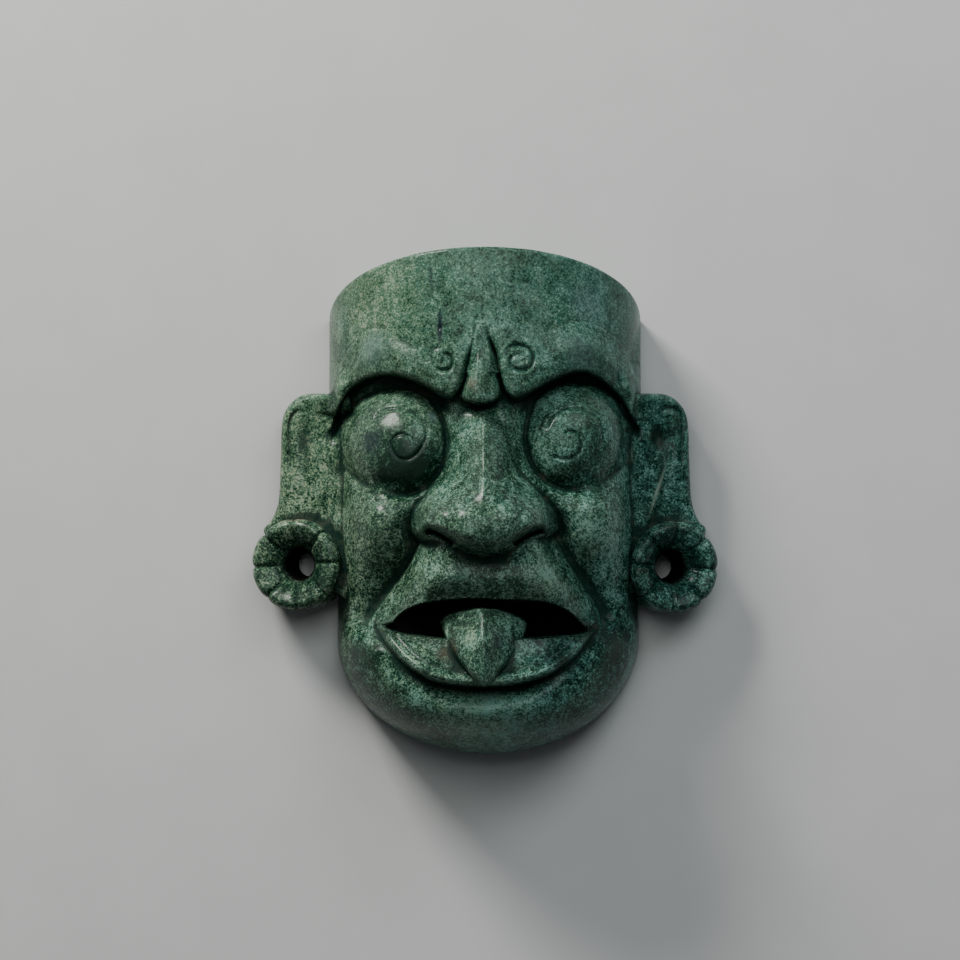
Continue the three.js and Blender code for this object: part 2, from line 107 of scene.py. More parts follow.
# Grooves of the two scrolls, as line, width and depth, with a low border beside them
SCROLL_GROOVES = [
    ([(-19.4, 51.7), (-18.2, 50.4), (-16.0, 49.6), (-13.7, 50.2), (-12.5, 52.1), (-12.7, 54.3), (-14.4, 55.9),
      (-16.7, 55.5)], 0.8, 1.3),
    ([(-15.6, 55.1), (-16.2, 53.2), (-16.0, 50.9)], 0.6, 0.9),
    ([(-19.4, 51.3), (-20.9, 54.0), (-19.8, 57.4), (-17.1, 58.9)], 0.7, 0.25),
    ([(7.0, 54.7), (9.5, 58.5), (13.3, 59.3), (17.1, 57.4), (18.2, 54.0), (17.1, 51.1), (14.1, 49.8),
      (10.6, 50.6), (9.5, 53.2), (11.0, 55.3), (13.7, 55.9)], 0.8, 1.2),
]
SCROLL_BORDER = 0.15
SCROLL_ENDS = (0.25, 0.2)

# The eye sockets sink under the brows, less so at the bridge of the nose and near the rim
SOCKET_DEPTH = 10.0
SOCKET_REACH = 8.0
BRIDGE_WIDTH, BRIDGE_SHARE = 14.0, 0.8
SOCKET_AT_RIM, SOCKET_AT_RIM_REACH = 0.75, 2.6
# A moat runs round each eye disc, deeper at its top, down to a level floor under the disc
MOAT_REACH, MOAT_DEPTH, MOAT_TOP_DEPTH, MOAT_TOP_RUN = 0.20, 2.6, 3.0, (-0.8, 0.4)
EYE_FLOOR, EYE_FLOOR_TOP_DEPTH, EYE_FLOOR_TOP_RUN, EYE_FLOOR_EDGE_RUN = 44.0, 3.6, (-0.3, 0.8), (1.06, 0.90)
EYE_BASE = 37.0
EYE_ROUNDNESS = 0.66
EYE_SKIRT_SLOPE = 55.0
EYE_TILT = 0.04
EYE_BLEND = 2.6
EYE_LINE_DEPTH, EYE_LINE_WIDTH, EYE_LINE_ENDS = 0.75, 0.7, (0.06, 0.1)

# The nose: a roof whose sides steepen outwards, a round bulb below, and a groove over each wing
NOSE_X = -0.3
NOSE_RIDGE_SOFTNESS = 0.3
NOSE_FOOT = 44.0
ROOF_STRAIGHT, ROOF_ROUND = 0.62, 0.38
BULB_FOOT = 56.0
BULB_FLATNESS, BULB_ROUNDNESS = 2.5, 0.62
BULB_RUN = (-7.0, 14.0)
NOSE_SKIRT_SLOPE = 40.0
WING_GROOVE_X, WING_GROOVE_Y = 13.5, -8.0
WING_GROOVE_DEPTH, WING_GROOVE_WIDTH, WING_GROOVE_LENGTH = 1.1, 2.2, 7.0
NOSE_UNDERSIDE, NOSE_UNDERSIDE_SLOPE, NOSE_TIP_BLEND = 58.0, 3.4, 10.0
NOSE_BLEND = 2.0
NOSE_RIDGE = [
    (-24.0, 77.0), (-17.0, 79.0), (-9.0, 80.5), (0.0, 77.5), (10.0, 72.0), (22.0, 65.0), (33.0, 57.5),
    (40.0, 51.5), (48.0, 46.0),
]
NOSE_HALF_WIDTH = [
    (-16.0, 24.2), (-9.0, 24.5), (-4.0, 24.0), (2.0, 21.3), (10.0, 17.0), (22.0, 14.0), (33.0, 10.5),
    (44.0, 9.0),
]
NOSE_BOTTOM = [
    (-30.0, -8.0), (-24.5, -12.0), (-18.0, -15.8), (-12.0, -19.6), (-5.0, -22.7), (0.0, -23.4),
    (5.0, -22.8), (12.0, -19.7), (17.0, -16.0), (23.8, -12.0), (30.0, -8.0),
]
NOSTRIL_DEPTH, NOSTRIL_WIDTH, NOSTRIL_ENDS = 9.0, 1.2, (0.15, 0.15)

# The muzzle: furrows round it as depth and width, flanks that rise between them to a front with a dip
# under the nose, and an upper lip that rolls inwards
MUZZLE_DEPTH = 64.5
MUZZLE_ROUNDNESS = 2.7
FURROWS = [(8.5, 12.0), (3.5, 4.5)]
FURROW_FOOT_RUN, FURROW_HEAD_RUN = (-60.0, -42.0), (-8.0, 12.0)
DIP_DEPTH, DIP_Y, DIP_HEIGHT, DIP_WIDTH = 2.6, -25.0, 7.0, 26.0
FLANK_STEP, FLANK_SLOPE, FLANK_RUN, FLANK_BLEND = 0.5, 2.0, (-57.0, -46.0), 9.0
ROLL_DEPTH, ROLL_WIDTH, ROLL_RUN = 7.0, 14.0, (-0.5, 3.0)
MUZZLE_EDGE = 1.6

# The lower lip: a shelf with a raised border, set in a groove, that falls towards mouth and corners
LIP_DEPTH = 64.0
LIP_ROUNDNESS = 2.3
LIP_GROOVE, LIP_GROOVE_WIDTH, LIP_GROOVE_RUN = 7.0, 6.5, (46.0, 57.0)
LIP_GROOVE_AT_SIDES, LIP_GROOVE_IN_MIDDLE, LIP_GROOVE_SPREAD = 0.25, 0.75, 27.0
LIP_BORDER, LIP_BORDER_RUN = 3.6, (0.5, 5.5)
LIP_FALL, LIP_FALL_WIDTH = 0.30, 17.0
LIP_CORNER_DROP, LIP_CORNER_RUN = 4.5, (20.0, 38.0)
LIP_BEVEL, LIP_BEVEL_REACH = 3.2, 4.5

# The tooth: two facets that fall from a bowed ridge, whose height goes by the distance from its top
TOOTH_X = -0.6
TOOTH_TOP = -40.2
TOOTH_FALL, TOOTH_RIDGE_SOFTNESS = 0.92, 0.4
TOOTH_TURN, TOOTH_SWELL, TOOTH_BEVEL = 0.08, 0.004, 2.0
TOOTH_RIDGE = [
    (-2.0, 59.5), (2.0, 61.5), (9.0, 65.5), (18.0, 68.5), (24.0, 69.0), (30.0, 67.0), (35.0, 63.0),
]

# The spine: a blade on a low web, both rising downwards, cut off over a pit at the nose
SPINE_TOP, SPINE_LENGTH = 65.5, 28.0
WEB_HEIGHT, WEB_RISE, WEB_BLEND = 58.2, 1.4, 2.0
WEB_SIDE_SLOPE, WEB_MARGIN = 3.0, 1.0
WEB_FOOT_SLOPE, WEB_FOOT = 1.7, 49.0
BLADE_X, BLADE_LEAN = -1.7, 1.1
BLADE_HEIGHT, BLADE_RISE, BLADE_FALL, BLADE_SIDE_SLOPE = 57.2, 8.4, 0.75, 3.0
BLADE_BLEND, BLADE_BEVEL = 0.6, 3.6
SPINE_FOOT, SPINE_FOOT_BOW, SPINE_FOOT_MIDDLE, SPINE_FOOT_WALL = 36.8, 0.03, -2.0, 0.9
SPINE_PIT, SPINE_PIT_SPREAD, SPINE_PIT_DEPTH = (-1.0, 36.0), (5.2, 2.0), 4.5

# The hollow behind: its top, the power that squares its oval, and low waves left by grinding
HOLLOW_TOP = 54.0
HOLLOW_SQUARENESS = 2.5
HOLLOW_WAVE, HOLLOW_WAVE_RUN = 0.25, (2.0, 12.0)
HOLLOW_SEGMENTS, HOLLOW_RINGS = 160, 80
# How high a face may lie to be of the flat rim, and how far out to be of the hollow
RIM_TOLERANCE = 0.05
HOLLOW_MARGIN = 1.12

# Ears: straps that slope back from the face, with a hook, a pan and a notch under the brow's end
EAR_OUTLINE = [
    (-84.4, -12), (-80, -17), (-70, -18), (-63.5, -19), (-61.5, -26), (-60, -33), (-56, -36), (-51.5, -35),
    (-50, 0), (-51.5, 39.5), (-55, 40.9), (-60, 40.9), (-68, 40.7),
    (-73, 38.3), (-76.6, 33.2), (-77.7, 26), (-77.9, 15), (-78.7, 0), (-81.2, -7.6),
]
EAR_CENTRE = (-63.0, 0.0)
EAR_BACK, EAR_THICKNESS, EAR_SLOPE, EAR_OUTERMOST = 3.0, 11.0, 0.25, 84.4
# The joint follows the head just inside its rim, falls outwards and stops under the face
EAR_JOINT, EAR_JOINT_SLOPE, EAR_JOINT_BLEND = 0.965, 1.1, 5.0
EAR_INSIDE, EAR_INSIDE_SLOPE = 0.93, 90.0
EAR_HOOK_DEPTH, EAR_HOOK_WIDTH, EAR_HOOK_ENDS = 1.3, 1.25, (0.35, 0.35)
EAR_PAN, EAR_PAN_SPREAD, EAR_PAN_DEPTH = (68.5, 20.0), (4.2, 10.0), 1.5
# The right ear has a dent in its pan and a thin vein that stands proud
EAR_DENT, EAR_DENT_SPREAD, EAR_DENT_DEPTH = (65.5, 24.0), (2.6, 4.0), 2.2
VEIN_RISE, VEIN_WIDTH, VEIN_END = 0.45, 0.5, 0.1
NOTCH_DEPTH, NOTCH_REACH, NOTCH_WALL_RUN = 6.0, 3.2, (0.4, -0.6)
NOTCH_X, NOTCH_WIDTH, NOTCH_END_RUN = 56.5, 4.0, (60.2, 57.5)
EAR_BEVEL = 2.6
EAR_CELLS = (110, 170)

# Flares: round rings of petals turned outwards, each with a funnel and a bore turned further still
FLARES = [(-71.0, -24.9), (71.0, -25.8)]
FLARE_SPLAY, FLARE_Z, FLARE_BACK = 0.36, 15.5, -9.0
FLARE_CELLS = 130
PETALS = 8
PETAL_START, PETAL_SCALLOP, PETAL_SWELL, PETAL_MIDDLE = 0.07, 0.5, 0.6, 0.7
PETAL_GROOVE_DEPTH, PETAL_GROOVE_WIDTH = 0.8, 0.8
BORE_TURN = 1.4
BORE_LENGTH, BORE_BACK_SHARE, BORE_FRONT_SHARE, BORE_SEGMENTS = 40.0, 0.62, 1.3, 72

# The painted shade of the mouth, within a box given by its lowest and highest corners, and half as much
# painted shade round it
MOUTH_BOX = ((-45.0, -58.0, 30.0), (45.0, -35.0, 60.0))
MOUTH_DARK_RUN, MOUTH_DARK_TOP_RUN = (-0.3, 0.6), (60.0, 56.0)
MOUTH_FADE, MOUTH_FADE_RUN, MOUTH_FADE_END, MOUTH_FADE_TOP_RUN = 0.5, (-4.5, 0.0), 0.3, (60.0, 57.0)
# The painted shade of a bore, by the distance from its line and along it
BORE_DARK_RUN, BORE_DARK_DEPTH_RUN = (7.6, 5.8), (3.0, 0.5)
# A face takes the dull painted-shade finish from this share of painted shade on, and an edge counts as sharp
# from this angle, in degrees
PAINTED_SHADE_SHARE = 0.75
SHARP_ANGLE = 38.0
# Measures of how hollow a place is: name, rounds of smoothing, and the depth that counts as full
RECESS_MEASURES = [("fine_recess", 6, 0.12), ("broad_recess", 60, 1.1)]

# Outlines and lines of the carving, as seen along the line to which it is square
BROW_EDGE_LEFT = [
    (-63.5, 24.3), (-60.4, 25.8), (-58.1, 28.5), (-57, 32.7), (-55.5, 36.5), (-53.2, 40.3),
    (-50.5, 43.3), (-46.7, 46), (-42.9, 47.5), (-38, 48.3), (-32.3, 47.9), (-27.7, 46.4),
    (-22.8, 44.1), (-18.6, 41.8), (-15.2, 39.9), (-12.5, 39.9), (-9.9, 42.2), (-8, 46.4),
    (-6.8, 50.9), (-5.7, 56.2), (-3.8, 60.8),
]
BROW_EDGE_RIGHT = [
    (1.5, 61.6), (3, 58.9), (4.6, 55.5), (5.3, 50.9), (6.5, 46), (8, 42.2), (10.6, 39.5),
    (13.7, 39.9), (18.2, 42.2), (22.8, 44.8), (26.6, 46.7), (30.8, 48.3), (35, 49.4), (39.1, 49),
    (42.9, 47.1), (46.7, 44.5), (50.2, 41), (53.2, 36.9), (55.9, 32.3), (58.1, 28.5), (61.2, 27),
    (65, 25.8),
]
BROW_PAD_LEFT = [
    (-63.5, 22.8), (-57.4, 30.4), (-53.2, 39.1), (-46.7, 45.6), (-38, 47.9), (-27.7, 46),
    (-18.6, 41.4), (-13.3, 39.5), (-9.5, 42.6), (-7.2, 49.4), (-6.8, 54.7), (-9.9, 58.5),
    (-14.8, 60), (-20.1, 58.1), (-23.9, 58.9), (-27.7, 61.2), (-32.3, 63.1), (-36.9, 65),
    (-41.8, 65.7), (-47.1, 63.8), (-51.7, 58.5), (-55.9, 50.2), (-60.4, 38),
]
BROW_PAD_RIGHT = [
    (63.5, 24.3), (57.4, 30.4), (51.3, 39.9), (43.7, 46.7), (36.1, 49.4), (27, 46.7),
    (18.2, 42.2), (11.8, 39.1), (8, 42.2), (5.7, 49.4), (5.3, 54.7), (7.6, 58.5), (11.8, 60),
    (17.1, 58.5), (20.1, 60), (22.8, 62.7), (27, 65.4), (31.2, 67.3), (36.5, 68.4), (41.8, 67.3),
    (46.7, 64.6), (52.1, 59.7), (56.6, 50.2), (60.8, 38),
]
SPINE_OUTLINE = [
    (-1.7, 65.7), (-3.3, 58.9), (-4.8, 52.4), (-6.2, 46.5), (-7.4, 41.5), (-6.9, 38.6), (-3.5, 36.4),
    (1.0, 36.6), (4.2, 38.8), (5.0, 42.0), (4.3, 47.0), (3.0, 53.2), (0.6, 58.9),
]
MUZZLE_OUTLINE = [
    (-17.9, 0), (-23.2, -7.6), (-26.2, -17.1), (-30.8, -26.2), (-36.9, -35), (-41.8, -41.8),
    (-44.5, -47.9), (-41.4, -52.4), (-32.3, -55.5), (-17.1, -57), (0, -57), (17.1, -57),
    (32.3, -55.5), (42.2, -53.6), (44.5, -48.6), (43.3, -41), (39.1, -34.2), (33.4, -25.1),
    (28.9, -17.1), (25.1, -8.4), (19, 0), (0, 3.8),
]
MOUTH_UPPER_EDGE = [
    (-39.1, -49), (-35.3, -46.4), (-30.8, -42.9), (-24.7, -40.3), (-17.1, -39), (-8.7, -38.4),
    (0, -38.4), (9.5, -38.8), (19, -39.1), (25.5, -40.3), (30.8, -42.6), (35.3, -46),
    (39.9, -50.2),
]
MOUTH_LOWER_EDGE = [
    (39.9, -50.2), (34.2, -51.9), (24.7, -52.4), (13.3, -53), (0, -53.2), (-13.3, -53),
    (-22.8, -52.4), (-31.5, -51.3), (-39.1, -49),
]
LIP_RIM = [
    (-39.9, -49), (-37.6, -54), (-33.8, -58.9), (-28.5, -63.8), (-22.4, -67.6), (-15.6, -69.7),
    (-7.6, -70.7), (0, -70.9), (8.7, -70.5), (17.1, -68.8), (24.7, -66.1), (30.8, -62.3),
    (36.1, -57.4), (40.7, -50.9),
]
TOOTH_OUTLINE = [
    (-16.7, -46.4), (-13.7, -44.1), (-9.1, -42.6), (-4.2, -41.8), (0.4, -41.7), (5.7, -42.2),
    (10.6, -44.1), (14.8, -46), (15.6, -48.6), (14.1, -53.2), (11.4, -57.8), (8, -62.3),
    (4.6, -66.5), (1.5, -69.5), (-0.4, -70.7), (-2.7, -69.2), (-6.5, -65), (-10.6, -59.7),
    (-14.1, -54), (-16, -49.4),
]
NOSTRIL_LEFT = [(-23.2, -11.8), (-19.4, -12.2), (-15.6, -14.1), (-11, -17.1)]
NOSTRIL_RIGHT = [(9.9, -17.5), (14.1, -14.8), (18.6, -12.5), (23.2, -11.4)]
EYE_LINE_LEFT = [
    (-42.9, 29.3), (-40.7, 32.7), (-37.2, 34.6), (-32.3, 35), (-27.7, 33.4), (-24.3, 30.4),
    (-22.4, 26.2), (-23.2, 22), (-25.8, 17.9), (-29.3, 15.6), (-32.7, 16), (-35, 19),
    (-35.3, 22.4), (-33.4, 24.7), (-30.4, 25.1), (-27.4, 23.6), (-25.1, 21.3),
]
EYE_RING_RIGHT = [
    (22.8, 26.6), (25.5, 31.9), (30, 34.6), (35.3, 35), (40.3, 33.1), (43.7, 28.9), (44.8, 23.6),
    (43.7, 18.2),
]
EYE_HOOK_RIGHT = [
    (29.6, 25.5), (32.7, 26.2), (35.3, 24.7), (36.5, 21.7), (35.7, 18.2), (32.7, 16),
    (28.9, 15.6), (25.5, 17.5),
]
EAR_HOOK_LEFT = [
    (-74.5, 8.4), (-74.5, 20.9), (-74.5, 28.5), (-73.3, 32.3), (-71.1, 33.8), (-68.4, 33.8),
    (-66.5, 31.2),
]
EAR_HOOK_RIGHT = [
    (64.2, 30.4), (65.4, 33.4), (67.6, 35), (72.2, 35), (74.9, 31.9), (75.2, 22.8), (75.2, 6.8),
]
VEIN_RIGHT = [(70.7, 19), (68.8, 9.1), (65.4, -1.1), (61.2, -9.9)]

# Each eye as centre, half sizes, how far it turns aside, and its incised lines
EYES = [
    ((-32.4, 21.4), (19.2, 21.0), -0.2, [EYE_LINE_LEFT]),
    ((33.1, 23.6), (19.0, 21.3), 0.2, [EYE_RING_RIGHT, EYE_HOOK_RIGHT]),
]

# Patches in the stone, as place and size in metres, strength and colour
STAINS = [
    ((0.0070, -0.0575, 0.0620), 0.0050, 0.50, "ink"),
    ((-0.0437, 0.0205, 0.0460), 0.0065, 0.75, "ink"),
    ((-0.0167, 0.0475, 0.0590), 0.0020, 0.60, "ink"),
    ((0.0118, 0.0486, 0.0590), 0.0018, 0.35, "ink"),
    ((-0.0195, 0.0301, 0.0460), 0.0026, 0.55, "slate"),
    ((-0.0430, 0.0562, 0.0430), 0.0080, 0.35, "slate"),
    ((0.0360, 0.0547, 0.0480), 0.0090, 0.30, "slate"),
    ((0.0399, 0.0741, 0.0450), 0.0090, 0.30, "slate"),
    ((-0.0057, 0.0415, 0.0610), 0.0028, 0.40, "deposit"),
    ((-0.0144, -0.0613, 0.0570), 0.0050, 0.35, "deposit"),
    ((-0.0733, -0.0299, 0.0200), 0.0030, 0.40, "deposit"),
]
# Long thin marks, as place in metres, turn, stretch, width in metres, strength and colour
STREAKS = [
    ((-0.0171, 0.0634, 0.0570), 0.0, 7.0, 0.0011, 1.00, "ink"),
    ((-0.0205, 0.0825, 0.0500), 0.06, 8.0, 0.0009, 0.60, "ink"),
    ((0.0660, 0.0062, 0.0200), -0.318, 14.0, 0.0007, 0.80, "pale"),
    ((-0.0712, -0.0058, 0.0220), 1.57, 9.0, 0.0008, 0.60, "deposit"),
    ((0.0736, -0.0063, 0.0220), 1.57, 9.0, 0.0008, 0.50, "pale"),
]
# Places painted lighter or darker, as place and size in metres and amount: mostly painted light and shade
# Painted light on lit places such as the tooth's left facet and the chin, painted shade on shaded ones such
# as the eyes, the tooth's right facet, the jaws, the right ear and the flares
PAINTED_LIGHT_AND_SHADE = [
    ((-0.0420, 0.0780, 0.0420), 0.0220, 0.17),
    ((0.0400, 0.0700, 0.0440), 0.0220, 0.11),
    ((-0.0300, 0.0120, 0.0480), 0.0140, -0.34),
    ((0.0370, 0.0140, 0.0480), 0.0130, -0.05),
    ((-0.0070, -0.0570, 0.0650), 0.0060, 0.28),
    ((0.0080, -0.0560, 0.0640), 0.0055, -0.12),
    ((0.0420, -0.0130, 0.0420), 0.0160, 0.12),
    ((0.0100, -0.0050, 0.0700), 0.0100, -0.06),
    ((0.0230, -0.0350, 0.0600), 0.0110, 0.16),
    ((-0.0250, -0.0600, 0.0560), 0.0080, 0.11),
    ((0.0270, -0.0600, 0.0540), 0.0090, -0.14),
    ((0.0480, -0.0560, 0.0320), 0.0150, -0.18),
    ((-0.0480, -0.0620, 0.0320), 0.0130, -0.18),
    ((0.0000, -0.0850, 0.0520), 0.0230, 0.17),
    ((-0.0680, 0.0150, 0.0200), 0.0200, 0.06),
    ((0.0690, 0.0150, 0.0200), 0.0200, -0.07),
    ((0.0720, -0.0240, 0.0200), 0.0180, -0.17),
    ((-0.0720, -0.0240, 0.0200), 0.0180, -0.13),
]
# How deep a thin mark goes into the stone, against its width
STREAK_DEPTH = 30.0
# Sizes of the grain, as noise scale, detail, roughness and distortion
GRAIN = {
    "fine": (1350.0, 3.0, 0.72, 0.2),
    "small": (520.0, 3.0, 0.6, 0.5),
    "cloud": (150.0, 4.0, 0.6, 0.8),
    "broad": (38.0, 3.0, 0.55, 0.4),
}
# Grain drawn out along the face, as stretch, turn, detail, roughness and distortion
DRAWN_GRAIN = ((420.0, 60.0, 300.0), 0.06, 3.0, 0.6, 0.3)
# Weights of the grains in the lightness, its middle before and after the contrast is set, and how
# far the contrast grows from the crown to the chin
GRAIN_WEIGHTS = {"fine": 1.5, "small": 0.6, "cloud": 0.55, "broad": 0.35, "drawn": 0.3}
LIGHTNESS_BEFORE, LIGHTNESS_AFTER = 1.67, 1.70
CONTRAST_RUN, CONTRAST_ENDS = (0.06, -0.08), (0.68, 1.25)
DARK_TO_GREEN, GREEN_TO_PALE = (1.50, 1.74), (1.72, 1.96)
# Tints across the face from left to right and down to the chin, in metres, with wandering edges; the one down
# to the chin is partly painted shade
SIDE_RUN, SIDE_WANDER, SIDE_CLOUD = (0.04, 0.22), 0.10, 0.16
CHIN_RUN, CHIN_WANDER = (-0.05, -0.13), -0.06
# Painted shade in the recesses, earth left in them and wear on what stands proud, by range and strength
FINE_SHADE_RUN, FINE_SHADE = (0.55, 0.95), 0.42
BROAD_SHADE_RUN, BROAD_SHADE = (0.66, 1.0), 0.5
EARTH_RUN, EARTH_CLOUD_RUN, EARTH_SHARE = (0.80, 1.0), (0.50, 0.68), 0.18
WORN_RUN, WORN_SHARE = (0.42, 0.15), 0.05
# Relief of the surface: pits as noise scale and range, and the shares of cloud, grain and pits
PIT_GRAIN, PIT_RUN = (700.0, 2.0, 0.5), (0.30, 0.36)
RELIEF_CLOUD, RELIEF_FINE, RELIEF_PITS = 0.5, 0.10, 0.15
RELIEF_DEPTH = 0.0003
POLISH_RUN, POLISH_ROUGHNESS, RECESS_ROUGHNESS = (0.35, 0.65), (0.24, 0.34), 0.4
SCRATCH_GRAIN = ((300.0, 2600.0, 900.0), 0.5, 2.0, 0.6)

# Softboxes, as name, direction, distance and size in metres, power in watts and colour
SOFTBOXES = [
    ("key_softbox", (-0.52, 0.78, 0.40), 1.3, (0.40, 0.32), 20.0, (1.0, 0.97, 0.93)),
    ("top_softbox", (-0.05, 0.30, 0.95), 1.6, (1.0, 1.0), 6.5, (0.93, 1.0, 0.98)),
    ("side_softbox", (0.42, 0.62, 0.66), 1.5, (0.8, 0.8), 6.0, (0.90, 0.98, 1.0)),
]
LIT_PLACE = (0.0, 0.0, 0.04)
STUDIO_LIGHT, STUDIO_STRENGTH = (0.9, 0.95, 1.0, 1.0), 0.07
# Camera, in millimetres: its distance, the width that it takes in, and the place at its middle
CAMERA_DISTANCE = 8000.0
PICTURE_WIDTH = 364.8
PICTURE_MIDDLE = (-1.9, 7.6, 45.0)


def length_property(name, description, default):
    return bpy.props.FloatProperty(
        name=name, description=description, default=default, min=0.0, unit="LENGTH", subtype="DISTANCE")


def colour_property(name, description, default):
    return bpy.props.FloatVectorProperty(
        name=name, description=description, default=default, size=4, min=0.0, max=1.0, subtype="COLOR")


class JadeMaskSizes(bpy.types.PropertyGroup):
    """Sizes of the carving, in metres"""

    lean: bpy.props.FloatProperty(
        name="Lean", description="How far the face leans back, as a slope", default=0.14, min=0.0, max=0.4)
    temple_half_width: length_property("Temple Half Width", "Half the width at the temples", 0.0595)
    jaw_half_width: length_property("Jaw Half Width", "Half the width at the jaw", 0.0574)
    forehead_depth: length_property("Forehead Depth", "How far the forehead stands over the back", 0.059)
    crown_depth: length_property("Crown Depth", "How far the crown stands over the back", 0.054)
    crown_y: length_property("Crown Place", "Where the cut of the crown meets its front edge", 0.0975)
    crown_slant: bpy.props.FloatProperty(
        name="Crown Slant", description="Slope of the flat cut of the crown", default=0.53, min=0.0, max=1.0)
    eye_bulge: length_property("Eye Bulge", "Height of the eye discs over their sockets", 0.0145)
    brow_rise: length_property("Brow Rise", "How far the brow pads stand over the forehead", 0.0029)
    mouth_floor: length_property("Mouth Floor", "Height of the mouth's floor over the back", 0.044)
    rim_width: length_property("Rim Width", "Width of the flat rim round the hollow", 0.013)
    hollow_depth: length_property("Hollow Depth", "Depth of the hollow behind", 0.034)
    flare_radius: length_property("Flare Radius", "Radius of an ear flare", 0.0176)
    bore_radius: length_property("Bore Radius", "Radius of the hole through an ear flare", 0.0057)
    cells: bpy.props.IntProperty(
        name="Cells", description="Cells of the carved surface across the face", default=300, min=40, max=500)
    faces: bpy.props.IntProperty(
        name="Faces", description="Triangles that the finished stone keeps", default=190000, min=20000)


class JadeMaskColours(bpy.types.PropertyGroup):
    """Colours of the stone and of the studio"""

    pale: colour_property("Pale Green", "Light grains of the stone", (0.285, 0.39, 0.30, 1.0))
    green: colour_property("Green", "Body of the stone", (0.060, 0.148, 0.103, 1.0))
    dark: colour_property("Dark Green", "Dark grains of the stone", (0.003, 0.021, 0.014, 1.0))
    olive: colour_property("Olive", "Tint of the yellowish left side", (1.0, 0.88, 0.72, 1.0))
    teal: colour_property("Teal", "Tint of the bluish right side", (0.64, 0.89, 0.98, 1.0))
    # Deep Teal darkens the lower face: partly the stone's own tint, partly painted shade
    chin: colour_property("Deep Teal", "Tint of the stone towards the chin", (0.70, 0.90, 0.95, 1.0))
    ink: colour_property("Ink", "Blue-black clouds", (0.012, 0.020, 0.030, 1.0))
    slate: colour_property("Slate", "Grey-blue patches", (0.13, 0.20, 0.20, 1.0))
    # Painted shade: the near black laid where the mouth and the bores lie only in shade
    painted_black_shade: colour_property("Painted Shade Black", "Dark of the mouth and the bores", (0.0025, 0.003, 0.0025, 1.0))
    deposit: colour_property("Deposit", "Brown earth left in the recesses", (0.16, 0.12, 0.085, 1.0))
    dust: colour_property("Dust", "Pale bloom of the ground back", (0.20, 0.24, 0.19, 1.0))
    floor: colour_property("Floor", "Studio floor", (0.66, 0.66, 0.655, 1.0))


# Measures over the carved surface

def smooth_step(low, high, value):
    share = np.clip((value - low) / (high - low), 0.0, 1.0)
    return share * share * (3.0 - 2.0 * share)


def bell(distance, width):
    return np.exp(-(distance / width) ** 2)


def higher(a, b, blend):
    """The higher of two surfaces, rounded where they meet"""
    share = np.clip(0.5 + 0.5 * (a - b) / blend, 0.0, 1.0)
    return b + (a - b) * share + blend * share * (1.0 - share)


def lower(a, b, blend):
    return -higher(-a, -b, blend)


def rounded_edge(inside, radius):
    """How far a rounded edge has dropped, by the distance inside it"""
    return radius - np.sqrt(np.maximum(radius ** 2 - (radius - np.clip(inside, 0.0, radius)) ** 2, 0.0))


def laid_over(below, above, inside, ramp=1.1):
    """Lays a higher surface over another, with a steep wall just outside its outline"""
    return below + np.maximum(above - below, 0.0) * np.clip(1.0 + inside / ramp, 0.0, 1.0)


def smooth_line(points, closed=False, steps=4):
    places = np.array(points, float)
    count = len(places)
    line = []
    for i in range(count if closed else count - 1):
        if closed:
            a, b, c, d = (places[(i + k - 1) % count] for k in range(4))
        else:
            a, b, c, d = (places[min(max(i + k - 1, 0), count - 1)] for k in range(4))
        for t in np.arange(steps) / steps:
            line.append(0.5 * (2 * b + (c - a) * t + (2 * a - 5 * b + 4 * c - d) * t ** 2
                               + (3 * b - a - 3 * c + d) * t ** 3))
    if not closed:
        line.append(places[-1])
    return np.array(line)


def line_distance(x, y, line):
    """Distance to a line, and the share of its length at the nearest place"""
    steps = np.diff(line, axis=0)
    lengths = np.maximum(np.hypot(steps[:, 0], steps[:, 1]), 1e-9)
    run = np.concatenate([[0.0], np.cumsum(lengths)])
    nearest = np.full(x.shape, 1e9)
    share = np.zeros(x.shape)
    for (px, py), (dx, dy), length, start in zip(line[:-1], steps, lengths, run):
        along = np.clip(((x - px) * dx + (y - py) * dy) / length ** 2, 0.0, 1.0)
        distance = np.hypot(x - px - along * dx, y - py - along * dy)
        closer = distance < nearest
        nearest = np.where(closer, distance, nearest)
        share = np.where(closer, (start + along * length) / run[-1], share)
    return nearest, share


def along_groove(x, y, line, ends):
    """Distance to a groove, and how full it is: it runs out at each end over a share of its length"""
    distance, share = line_distance(x, y, line)
    start, end = ends
    return distance, smooth_step(0.0, start, share) * smooth_step(0.0, end, 1.0 - share)


def swelling(x, y, centre, spread):
    """A soft oval swelling, one at its centre"""
    return np.exp(-((x - centre[0]) / spread[0]) ** 2 - ((y - centre[1]) / spread[1]) ** 2)


def depth_inside(x, y, outline):
    """Distance into a closed outline, negative outside it"""
    loop = np.vstack([outline, outline[:1]])
    distance, _ = line_distance(x, y, loop)
    odd = np.zeros(x.shape, bool)
    for (x0, y0), (x1, y1) in zip(loop[:-1], loop[1:]):
        if y0 != y1:
            odd ^= ((y0 > y) != (y1 > y)) & (x < x0 + (x1 - x0) * (y - y0) / (y1 - y0))
    return np.where(odd, distance, -distance)


